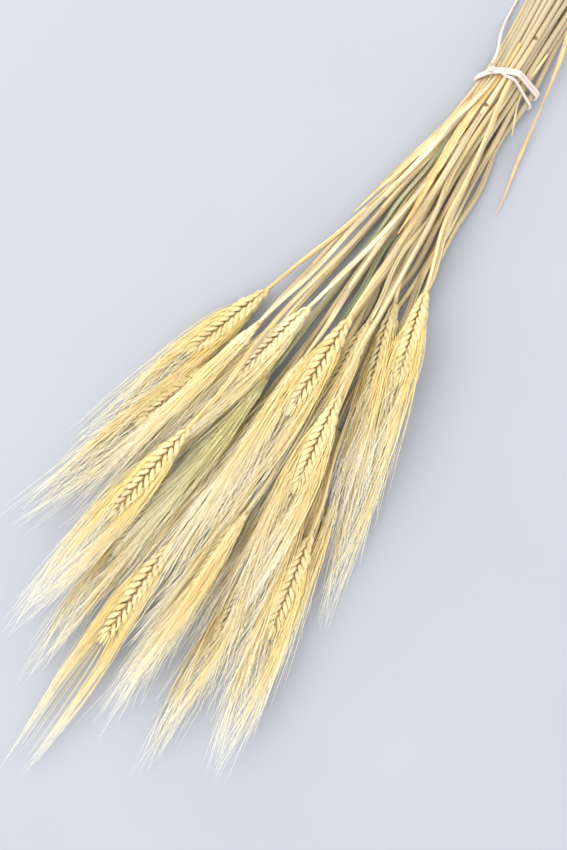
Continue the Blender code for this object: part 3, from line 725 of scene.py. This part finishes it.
def awn_surfaces(root, lead, tip, draw):
    """Bristles: three-cornered tubes on a curve from the root, by a lead point, to the tip.

    The curve is the square blend (1 - u)^2 root + 2 u (1 - u) lead + u^2 tip, and the
    radius falls with the square root of what is left of the length.
    """
    u = np.linspace(0.0, 1.0, AWN_RINGS)[:, None]
    root, lead, tip = root[:, None], lead[:, None], tip[:, None]
    centres = (1.0 - u) ** 2 * root + 2.0 * u * (1.0 - u) * lead + u**2 * tip
    centres[..., 2] = np.maximum(centres[..., 2], FLOOR_CLEAR + AWN_BASE_RADIUS)
    across, up = frames_along(headings(centres), 0.0)
    share = u[:, 0]
    thin = AWN_TIP_RADIUS + (AWN_BASE_RADIUS - AWN_TIP_RADIUS) * np.sqrt(1.0 - share)
    thick = draw.uniform(*AWN_THICKNESS, len(centres))
    places, grain = tube(centres, across, up, thick[:, None] * thin, 3)
    return places, grain, np.broadcast_to(share[:, None], places.shape[:3])


def spikelet_plan(length, draw):
    """Where the ear's spikelets are: lateness, side, size, width and low edge.

    The ear is slim where it grows from the straw, full in the middle and tapers at its top.
    """
    pitch = (length - EAR_TOP) / SPIKELETS
    order = np.repeat(np.arange(SPIKELETS), 2)
    side = np.tile([1.0, -1.0], SPIKELETS)
    late = order / (SPIKELETS - 1)
    size = 1.0 - EAR_TAPER * np.clip((late - 0.5) * 2.0, 0.0, None) ** 2
    size = size * (EAR_FOOT + (1.0 - EAR_FOOT) * ease(late / EAR_FOOT_SHARE))
    width = size * (1.0 - EAR_WAIST * (1.0 - np.sin(math.pi * np.minimum(1.0, late + 0.25))))
    low = order * pitch + np.where(side < 0.0, 0.5 * pitch, 0.0)
    return late, side, size, width, low + draw.uniform(-0.3, 0.3, len(low))


def add_ear(skin, row, index, stations, place, draw):
    """The ear: husks in spikelets on both sides of the axis, with awns from each lemma."""
    begin, length, roll = row[0], row[4], row[5]
    ends = np.array([begin, begin + length], dtype=float)
    x = np.interp(ends, stations, place[:, 0])
    z = np.interp(ends, stations, place[:, 1])
    base = np.array([x[0], -ends[0], z[0]])
    along = unit(np.array([x[1], -ends[1], z[1]]) - base)
    across, up = frames_along(along, roll)
    late, side, size, width, low = spikelet_plan(length, draw)
    out_spread, beside_spread = PARTED.get(index, (AWN_OUT, AWN_BESIDE))
    far = length + AWN_PAST_EAR + (AWN_PAST_EAR_LAST - AWN_PAST_EAR) * late

    def world(t, out, beside):
        return base + along * t[..., None] + across * out[..., None] + up * beside[..., None]

    count = len(low)
    for a_root, a_tip, facing, half_width, depth, bow, awns in HUSKS:
        slack = draw.uniform(-HUSK_TURN, HUSK_TURN, count)
        root = world(low + a_root[0], side * a_root[1], width * a_root[2])
        tip_t = low + a_tip[0] + draw.uniform(-HUSK_SLACK, HUSK_SLACK, count)
        tip_out = side * a_tip[1] * size * (1.0 + slack)
        aside = draw.uniform(-HUSK_SIDE_SLACK, HUSK_SIDE_SLACK, count)
        tip = world(tip_t, tip_out, width * a_tip[2] + aside)
        face = across * (side * facing[0])[:, None] + up * facing[1]
        face = face + along * slack[:, None]
        husks = husk_surfaces(root, tip, face, half_width * width, depth * size, bow * size)
        add_shaded(skin, husks, 1, draw, HUSK_GRAIN)
        for order in range(awns):
            start = tip - unit(tip - root) * (order * draw.uniform(*AWN_ROOT_BACK, (count, 1)))
            start = start + up * (order * draw.uniform(-AWN_ROOT_SIDE, AWN_ROOT_SIDE, (count, 1)))
            beside = np.clip(draw.normal(0.0, beside_spread, count), -AWN_FURTHEST, AWN_FURTHEST)
            out = np.clip(draw.normal(*out_spread, count), -AWN_FURTHEST, AWN_FURTHEST)
            out = side * out * (1.0 - AWN_CLOSING * late)
            end = world(far - draw.uniform(-AWN_LONGER, AWN_SHORTER, count), out, beside)
            run = np.linalg.norm(end - start, axis=-1, keepdims=True)
            lead = start + unit(tip - root) * run * draw.uniform(*AWN_LEAD, (count, 1))
            add_shaded(skin, awn_surfaces(start, lead, end, draw), 2, draw)
    add_ear_top(skin, world, length, across, up, draw)


def add_shaded(skin, surfaces, slot, draw, grain_spread=0.0):
    """Adds copies of a shape, each with its own shade and, if asked, its own grain."""
    places, grain, share = surfaces
    shade = np.broadcast_to(draw.uniform(0.0, 1.0, (len(places), 1, 1)), share.shape)
    if grain_spread:
        grain = grain + draw.uniform(0.0, grain_spread, (len(places), 1, 1, 3))
    skin.add(places, grain, np.stack([share, shade, np.zeros_like(share)], axis=-1), slot)


def add_ear_top(skin, world, length, across, up, draw):
    """The last spikelet: husks round the axis, leaning out a little, each with an awn."""
    count = TOP_HUSKS
    angle = round_angles(count) + TOP_TURN
    out, beside = np.cos(angle), np.sin(angle)
    root = world(np.full(count, length + TOP_ROOT[0]), TOP_ROOT[1] * out, TOP_ROOT[1] * beside)
    tip_t = np.full(count, length + TOP_TIP[0]) + draw.uniform(-1.0, 1.0, count)
    tip = world(tip_t, TOP_TIP[1] * out, TOP_TIP[1] * beside)
    face = across * out[:, None] + up * beside[:, None]
    husks = husk_surfaces(root, tip, face, *(part * np.ones(count) for part in TOP_SHAPE))
    add_shaded(skin, husks, 1, draw)
    reach = length + AWN_PAST_EAR_LAST - draw.uniform(*TOP_AWN_SHORTER, count)
    end = world(reach, TOP_AWN_OUT * out, TOP_AWN_OUT * beside)
    run = np.linalg.norm(end - tip, axis=-1, keepdims=True)
    lead = tip + unit(tip - root) * run * TOP_AWN_LEAD
    add_shaded(skin, awn_surfaces(tip, lead, end, draw), 2, draw)


def add_core(skin, row, stations, place):
    """The ear's own stem: a slim rod that its husks stand on."""
    begin, length, roll = row[0], row[4], row[5]
    s = np.linspace(begin - CORE_BEFORE, begin + length - CORE_SHORT, CORE_RINGS)
    centres = path_points(stations, place, s)
    across, up = frames_along(headings(centres), roll)
    radii = np.linspace(*CORE_RADII, CORE_RINGS)
    places, grain = tube(centres[None], across[None], up[None], radii[None], CORE_CORNERS)
    state = np.zeros(places.shape)
    state[..., :2] = CORE_STATE
    skin.add(places, grain, state, 1)


def make_stalk(index, row, stations, place, materials):
    """One ripe stalk in place of its solid: straw, ear and awns in one mesh."""
    draw = np.random.default_rng(SEED + index)
    skin = Skin()
    add_straw(skin, row, index, stations, place, draw)
    add_core(skin, row, stations, place)
    for order in range(BLADES):
        add_blade(skin, row, order, stations, place, draw)
    add_ear(skin, row, index, stations, place, draw)
    tint = row[6]
    node = "stalk_%02d" % (index + 1)
    made = skin.make(node + "_ripe", [materials[part + tint] for part in ("straw_", "husk_", "awn_")])
    stand_in(made, node)


def make_leaf(index, row, stations, place, material):
    """A dry blade in place of its solid: a cupped strip with a wavy edge and a closed rim.

    At the share v across, from -1 to 1, the blade is lifted by its curl times its half
    width times (v squared less a half). Its edges wave with two sines of the run, a bell
    curve creases its middle, and another sine nicks its edges.
    """
    name, tint, half_width, route = row
    begin, end = route[0][0], route[-1][0]
    draw = np.random.default_rng(SEED + 100 + index)
    s = np.linspace(begin, end, LEAF_RINGS)
    centres = path_points(stations, place, s)
    across, up = frames_along(headings(centres), 0.0)
    width = leaf_width(row, s)
    curl = LEAF_CURL + LEAF_FOLD * (1.0 - width / half_width)
    angle = round_angles(LEAF_CORNERS)
    v, rim = np.cos(angle), np.sin(angle)
    phase = draw.uniform(0.0, 6.0, 2)
    wave = sum(high * np.sin(s / run + turn) for (high, run), turn in zip(LEAF_WAVES, phase))
    lift = curl[:, None] * width[:, None] * (v * v - 0.5)
    lift = lift + wave[:, None] * width[:, None] * v * np.abs(v) * 0.5
    crease = LEAF_CREASE[0] * np.exp(-((v / LEAF_CREASE[1]) ** 2))
    lift = lift + LEAF_HALF_THICKNESS * rim - crease
    nick = 1.0 - LEAF_NICK[0] * (1.0 + np.sin(s / LEAF_NICK[1] + phase[1]))[:, None] * np.abs(v)
    wide = width[:, None] * v * nick
    places = centres[:, None] + across[:, None] * wide[..., None] + up[:, None] * lift[..., None]
    grain = np.stack([wide, np.broadcast_to(s[:, None], wide.shape), lift], axis=-1)
    share = (s - begin) / (end - begin)
    state = np.stack([
        np.broadcast_to(share[:, None], wide.shape),
        np.full(wide.shape, draw.uniform()),
        np.broadcast_to(np.abs(v), wide.shape),
    ], axis=-1)
    skin = Skin()
    skin.add(places[None], grain[None], state[None], 0)
    made = skin.make(name + "_blade", [material])
    stand_in(made, name)


def band_s(x, z):
    """Where along the bunch the doubled band crosses a place (x, z): it leans as it goes down."""
    return BAND_S + BAND_TILT * x + BAND_LEAN * (BAND_TOP - z)


def wrap_s(x, z):
    """Where the thin wrap crosses a place: it swings to the knot on the upper left."""
    swing = ease((WRAP_TURN_FROM - x) / WRAP_TURN_RUN) * ease((z - WRAP_TURN_ABOVE) / WRAP_TURN_RUN)
    return WRAP_S + WRAP_TILT * (z - TIE_MIDDLE) - WRAP_TO_KNOT * swing


def string_circles(stations, place):
    """Circles (x, z, radius) that the string goes round: all that it holds, near the tie."""
    near = np.array(STRING_NEAR)
    circles = []
    for index, own in enumerate(place):
        leaf = LEAVES[index - len(STALKS)] if index >= len(STALKS) else None
        if leaf and leaf[0] == OUTSIDE_LEAF:
            continue
        radius = float(leaf_reach(leaf, 0.0)) if leaf else STRAW_RADIUS
        x = np.interp(near, stations, own[:, 0])
        z = np.interp(near, stations, own[:, 1])
        circles.append(np.column_stack([x, z, np.full(len(near), radius)]))
    return np.vstack(circles)


def loop_points(circles, offset, s_of, count):
    """A closed line at an offset round the circles, in evenly spaced points.

    In each direction the circle that reaches furthest carries the line.
    """
    angle = np.radians(np.arange(0.0, 360.0, 1.0))
    out = np.stack([np.cos(angle), np.sin(angle)], axis=-1)
    best = (out @ circles[:, :2].T + circles[:, 2]).argmax(axis=1)
    line = circles[best, :2] + out * (circles[best, 2] + offset)[:, None]
    closed = np.vstack([line, line[:1]])
    run = np.concatenate([[0.0], np.cumsum(np.linalg.norm(np.diff(closed, axis=0), axis=1))])
    at = np.linspace(0.0, run[-1], count, endpoint=False)
    x = np.interp(at, run, closed[:, 0])
    z = np.interp(at, run, closed[:, 1])
    for _ in range(LOOP_SMOOTHING):
        x = 0.5 * x + 0.25 * (np.roll(x, 1) + np.roll(x, -1))
        z = 0.5 * z + 0.25 * (np.roll(z, 1) + np.roll(z, -1))
    return np.column_stack([x, -s_of(x, z), z])


def add_string(skin, points, radius, closed, draw):
    """Twisted string: three plies, each a tube on a helix round the string's own line.

    A ply's line is the string's plus half the radius times (first cos a + second sin a),
    where a grows by a turn in each 6.5 mm and starts a third of a turn apart.
    """
    nexts = np.roll(points, -1, axis=0) if closed else points[1:]
    steps = np.linalg.norm(nexts - points[:len(nexts)], axis=1)
    length = steps.sum()
    turns = max(1, round(length / PLY_TURN))
    run = np.concatenate([[0.0], np.cumsum(steps)])
    line = np.vstack([points, points[:1]]) if closed else points
    count = turns * PLY_POINTS_A_TURN + (0 if closed else 1)
    at = np.linspace(0.0, length, count, endpoint=not closed)
    centre = np.stack([np.interp(at, run, line[:, i]) for i in range(3)], axis=-1)
    if closed:
        heading = unit(np.roll(centre, -1, axis=0) - np.roll(centre, 1, axis=0))
    else:
        heading = headings(centre)
    first = unit(np.cross(heading, (0.12, 0.97, 0.2) if closed else (0.0, 0.0, 1.0)))
    second = np.cross(heading, first)
    for ply in range(PLIES):
        turn = 2.0 * math.pi * (at / length * turns + ply / PLIES)
        fuzz = 1.0 + draw.uniform(-PLY_FUZZ, PLY_FUZZ, len(at))
        side = first * np.cos(turn)[:, None] + second * np.sin(turn)[:, None]
        ply_centre = centre + side * (PLY_OFFSET * radius)
        places, grain = tube(ply_centre[None], first[None], second[None],
                             (PLY_RADIUS * radius * fuzz)[None], PLY_CORNERS)
        state = np.zeros(places.shape)
        state[..., 0] = (at / length)[None, :, None]
        state[..., 1] = ply / PLIES
        skin.add(places, grain, state, 0, wrap_rows=closed)


def knot_points(circles):
    """A three-lobed overhand knot laid on the band at the upper left.

    Round the angle t it is (sin t + 2 sin 2t, cos t - 2 cos 2t, -sin 3t), drawn out to the
    knot's three radii.
    """
    angle = math.radians(KNOT_ANGLE)
    out = np.array([math.cos(angle), math.sin(angle)])
    best = int((circles[:, :2] @ out + circles[:, 2]).argmax())
    x, z = circles[best, :2] + out * (circles[best, 2] + STRING_CLEARANCE + KNOT_RADII[2])
    middle = np.array([x, -band_s(x, z), z])
    t = round_angles(KNOT_POINTS)
    flat = (np.sin(t) + 2.0 * np.sin(2.0 * t)) / 3.0
    long = (np.cos(t) - 2.0 * np.cos(2.0 * t)) / 3.0
    high = -np.sin(3.0 * t)
    room = np.array(KNOT_RADII) - TAIL_RADIUS
    tangent = np.array([out[1], 0.0, -out[0]])
    upward = np.array([out[0], 0.0, out[1]])
    along = np.array([0.0, 1.0, 0.0])
    return (middle + tangent * (room[0] * flat)[:, None] + along * (room[1] * long)[:, None]
            + upward * (room[2] * high)[:, None])


def make_tie(circles, material):
    """The tie in place of its solid: two twisted strands, a thin wrap and the knot."""
    draw = np.random.default_rng(SEED + 200)
    skin = Skin()
    band = loop_points(circles, STRING_CLEARANCE + STRING_RADIUS, band_s, LOOP_POINTS)
    shift = np.array([0.0, 0.5 * STRAND_SHIFT, 0.0])
    wrap = loop_points(circles, STRING_CLEARANCE + WRAP_RADIUS, wrap_s, LOOP_POINTS)
    add_string(skin, band + shift, STRING_RADIUS, True, draw)
    add_string(skin, band - shift, STRING_RADIUS, True, draw)
    add_string(skin, wrap, WRAP_RADIUS, True, draw)
    add_string(skin, knot_points(circles), TAIL_RADIUS, True, draw)
    made = skin.make("string_tie_twisted", [material])
    stand_in(made, "string_tie")


def make_tail(material):
    """The loose end of the string, from the knot down to the table beside the stalks."""
    draw = np.random.default_rng(SEED + 300)
    route = smooth_curve(TAIL_ROUTE, np.linspace(0.0, len(TAIL_ROUTE) - 1.0, TAIL_POINTS))
    skin = Skin()
    add_string(skin, route, TAIL_RADIUS, False, draw)
    made = skin.make("string_tail_twisted", [material])
    stand_in(made, "string_tail")


def add(tree, kind, inputs=None, **settings):
    """Adds a node: settings are its own, and inputs are socket values or outputs to link."""
    made = tree.nodes.new(kind)
    for name, value in settings.items():
        setattr(made, name, value)
    for name, value in (inputs or {}).items():
        if isinstance(value, bpy.types.NodeSocket):
            tree.links.new(value, made.inputs[name])
        else:
            made.inputs[name].default_value = value
    return made


def new_material(name):
    """An empty material with its Principled shader."""
    material = bpy.data.materials.new(name)
    material.use_nodes = True
    return material, material.node_tree, material.node_tree.nodes["Principled BSDF"]


def mix(tree, factor, first, second):
    """The colour between two, by a factor: each a socket or a linear colour."""
    made = add(tree, "ShaderNodeMix", {0: factor, 6: first, 7: second}, data_type="RGBA")
    return made.outputs[2]


def spread(tree, value, low, high, most=1.0):
    """A value's range from low to high turned to 0 to the most, smoothly."""
    made = add(tree, "ShaderNodeMapRange", {0: value, 1: low, 2: high, 4: most},
               interpolation_type="SMOOTHSTEP")
    return made.outputs[0]


def part(tree, value, share):
    """A share of a value."""
    return add(tree, "ShaderNodeMath", {0: value, 1: share}, operation="MULTIPLY").outputs[0]


def paint(tree, shader, colour, roughness):
    """Gives the shader its colour, and its roughness from a number or a socket."""
    tree.links.new(colour, shader.inputs["Base Color"])
    if isinstance(roughness, float):
        shader.inputs["Roughness"].default_value = roughness
    else:
        tree.links.new(roughness, shader.inputs["Roughness"])


def streaks(tree, size, detail=3.0):
    """Noise in the grain, drawn out along it: size is (across, along, up) in millimetres."""
    grain = add(tree, "ShaderNodeAttribute", attribute_name="grain")
    scaled = add(tree, "ShaderNodeVectorMath",
                 {0: grain.outputs["Vector"], 1: tuple(1.0 / part for part in size)},
                 operation="MULTIPLY")
    noise = add(tree, "ShaderNodeTexNoise",
                {"Vector": scaled.outputs[0], "Scale": 1.0, "Detail": detail, "Roughness": 0.55})
    return noise.outputs[0]


def states(tree):
    """The three sockets of the state: share along, random shade, mark (on straw a joint's own colour and
    painted shade in the cut hollow).
    """
    state = add(tree, "ShaderNodeAttribute", attribute_name="state")
    parts = add(tree, "ShaderNodeSeparateXYZ", {0: state.outputs["Vector"]})
    return parts.outputs[0], parts.outputs[1], parts.outputs[2]


def bump(tree, shader, height, strength, distance):
    """Raises the surface by a height socket, up to a distance in millimetres."""
    made = add(tree, "ShaderNodeBump",
               {"Height": height, "Strength": strength, "Distance": distance * MM})
    tree.links.new(made.outputs[0], shader.inputs["Normal"])


def make_straw_material(tint, pale, deep, aged, rib):
    """Wheat straw, air dried: a waxy, smooth stem, so it has a satin gleam along it.

    Its ribs are about 0.35 mm apart, drawn as 0.7 mm so that they show, and the folds of its
    sheath about 1.5 mm wide. It is greyer towards its cut end. Joints are brown, and the cut
    hollow is painted brown deeper in, as shade.
    """
    material, tree, shader = new_material("dried_straw_" + tint)
    along, shade, mark = states(tree)
    fine = streaks(tree, (0.7, 60.0, 0.7))
    broad = streaks(tree, (1.5, 110.0, 1.5), 2.0)
    colour = mix(tree, spread(tree, broad, 0.40, 0.60), linear(pale), linear(deep))
    colour = mix(tree, spread(tree, fine, 0.50, 0.66), colour, linear(rib))
    colour = mix(tree, part(tree, shade, 0.55), colour, linear(aged))
    colour = mix(tree, spread(tree, along, 0.52, 0.16, 0.85), colour, linear("#B2A286"))
    # Dark brown where the mark is: each joint's own colour, and painted shade inside the cut hollow
    colour = mix(tree, spread(tree, mark, 0.25, 0.8), colour, linear("#6B4A22"))
    rough = add(tree, "ShaderNodeMapRange", {0: fine, 3: 0.34, 4: 0.56})
    paint(tree, shader, colour, rough.outputs[0])
    bump(tree, shader, fine, 0.8, 0.25)
    return material


def make_husk_material(tint, pale, deep, painted_slit_shade):
    """Chaff, the wheat's own paper: thin, dry and matt, with nerves along each husk.

    Nerves stand about 0.55 mm apart, and the husks are painted brown towards the root as shade of the dark
    slits between them.
    """
    material, tree, shader = new_material("dried_chaff_" + tint)
    along, shade = states(tree)[:2]
    nerves = streaks(tree, (0.55, 14.0, 0.55), 1.0)
    cloud = streaks(tree, (5.0, 9.0, 5.0), 2.0)
    colour = mix(tree, spread(tree, cloud, 0.35, 0.68), linear(pale), linear(deep))
    colour = mix(tree, spread(tree, nerves, 0.50, 0.74), colour, linear(deep))
    colour = mix(tree, part(tree, shade, 0.5), colour, linear(pale))
    # Painted shade: brown towards each husk's root, standing in for the dark slits between husks
    colour = mix(tree, spread(tree, along, 0.34, 0.0), colour, linear(painted_slit_shade))
    paint(tree, shader, colour, 0.75)
    bump(tree, shader, nerves, 0.7, 0.18)
    return material


def make_awn_material(tint, base, light, tip):
    """Awns: stiff bristles with a glassy skin, so they catch a fine bright line of light.

    They are golden at the root, each in its own shade, and bleach from half way to the tip.
    """
    material, tree, shader = new_material("dried_awn_" + tint)
    along, shade = states(tree)[:2]
    colour = mix(tree, part(tree, shade, 0.85), linear(base), linear(light))
    colour = mix(tree, spread(tree, along, 0.5, 1.0), colour, linear(tip))
    paint(tree, shader, colour, 0.42)
    return material


def make_leaf_material(name, pale, deep, blotch):
    """A dried leaf blade: papery and matt, with parallel veins 0.5 mm apart and blotches."""
    material, tree, shader = new_material("dried_blade_" + name)
    edge = states(tree)[2]
    veins = streaks(tree, (0.5, 40.0, 0.5), 1.0)
    cloud = streaks(tree, (2.5, 14.0, 2.5))
    colour = mix(tree, spread(tree, veins, 0.4, 0.62), linear(pale), linear(deep))
    colour = mix(tree, spread(tree, cloud, 0.52, 0.72), colour, linear(blotch))
    colour = mix(tree, spread(tree, edge, 0.82, 1.0), colour, linear(pale))
    paint(tree, shader, colour, 0.66)
    bump(tree, shader, veins, 0.8, 0.15)
    return material


def make_cotton_material():
    """Cotton string, spun and plied: soft and matt, with a fuzz of fibres that lights up."""
    material, tree, shader = new_material("plied_cotton")
    fibres = streaks(tree, (0.22, 1.6, 0.22), 3.0)
    colour = mix(tree, spread(tree, fibres, 0.3, 0.7), linear("#EFE6E0"), linear("#CDB9B0"))
    paint(tree, shader, colour, 0.92)
    shader.inputs["Sheen Weight"].default_value = 0.35
    shader.inputs["Sheen Roughness"].default_value = 0.5
    bump(tree, shader, fibres, 0.8, 0.15)
    return material


def make_floor():
    """A plain pale board: a flat plane with a faint mottle."""
    mesh = bpy.data.meshes.new("floor")
    half = FLOOR_HALF
    mesh.from_pydata([(-half, -half, 0), (half, -half, 0), (half, half, 0), (-half, half, 0)],
                     [], [(0, 1, 2, 3)])
    material, tree, shader = new_material("pale_board")
    place = add(tree, "ShaderNodeTexCoord")
    noise = add(tree, "ShaderNodeTexNoise", {"Vector": place.outputs["Object"], "Scale": 6.0})
    colour = mix(tree, noise.outputs[0], linear("#A2A6B1"), linear("#A8ACB6"))
    paint(tree, shader, colour, 0.7)
    mesh.materials.append(material)
    floor = bpy.data.objects.new("floor", mesh)
    bpy.context.scene.collection.objects.link(floor)


def make_light(name, place, target, size, power, colour):
    """A square soft light at a place, turned to a target, all in metres."""
    data = bpy.data.lights.new(name, "AREA")
    data.size = size
    data.energy = power
    data.color = linear(colour)[:3]
    light = bpy.data.objects.new(name, data)
    bpy.context.scene.collection.objects.link(light)
    light.location = place
    aim = np.array(target) - np.array(place)
    light.rotation_mode = "QUATERNION"
    light.rotation_quaternion = Vector(aim.tolist()).to_track_quat("-Z", "Y")


def make_lights():
    """Soft daylight from the photograph's upper left, and a pale even sky."""
    make_light("window", (-2.2, 0.2, 2.6), (0.0, -0.25, 0.0), 3.4, 84.0, "#FFFBF0")
    world = bpy.data.worlds.new("sky")
    bpy.context.scene.world = world
    world.use_nodes = True
    sky = world.node_tree.nodes["Background"]
    sky.inputs["Color"].default_value = linear("#F8F8F8")
    sky.inputs["Strength"].default_value = 1.5


def make_camera():
    """The photograph's camera: above the middle of the frame, looking straight down."""
    data = bpy.data.cameras.new("camera")
    data.sensor_width = SENSOR
    data.lens = SENSOR * VIEW_HEIGHT / VIEW_LONG_SIDE
    camera = bpy.data.objects.new("camera", data)
    camera.location = (*VIEW_CENTRE, VIEW_HEIGHT)
    camera.rotation_euler = (0.0, 0.0, VIEW_TURN)
    bpy.context.scene.collection.objects.link(camera)
    bpy.context.scene.camera = camera


# Tint of a stalk: straw (pale, deep, aged, rib), chaff (pale, deep, painted slit shade at the root), awn
# (base, light, tip)
TINTS = {
    "golden": (("#EEE2BA", "#D8BE88", "#D2AE74", "#AE8C52"), ("#DACEA2", "#CAB478", "#B48A4C"),
               ("#FFDE84", "#FFF4C4", "#FFFCEA")),
    "pale": (("#F2EBCE", "#DFCE9C", "#D6C292", "#B8A066"), ("#E4DCB8", "#D6C48E", "#BA9458"),
             ("#FFE69C", "#FFF8D4", "#FFFDF0")),
    "straw": (("#E8DFB8", "#D4C08C", "#CBB27C", "#A6905A"), ("#DCD0A4", "#CAB47A", "#B0864A"),
              ("#FEDD8C", "#FFF4C8", "#FFFCEA")),
    "green": (("#C2C4A0", "#A0A57A", "#8E986E", "#767E54"), ("#CEC89C", "#B6AE78", "#8E8852"),
              ("#DCD692", "#F2ECBC", "#F8F4DE")),
}


def make_materials():
    """All the bunch's materials by name."""
    made = {}
    for tint, (straw, husk, awn) in TINTS.items():
        made["straw_" + tint] = make_straw_material(tint, *straw)
        made["husk_" + tint] = make_husk_material(tint, *husk)
        made["awn_" + tint] = make_awn_material(tint, *awn)
    made["leaf_pale"] = make_leaf_material("pale", "#E8D8AC", "#CDB47C", "#BE9C66")
    made["leaf_orange"] = make_leaf_material("orange", "#E8C48E", "#D8A868", "#BE8848")
    made["cotton"] = make_cotton_material()
    return made


make_camera()
materials = make_materials()
make_tail(materials["cotton"])
stations, place = settle()
circles = string_circles(stations, place)
make_tie(circles, materials["cotton"])
for number, stalk in enumerate(STALKS):
    make_stalk(number, stalk, stations, place[number], materials)
for number, leaf in enumerate(LEAVES):
    make_leaf(number, leaf, stations, place[len(STALKS) + number], materials[leaf[1]])
make_floor()
make_lights()
bpy.context.scene.view_settings.view_transform = "Standard"
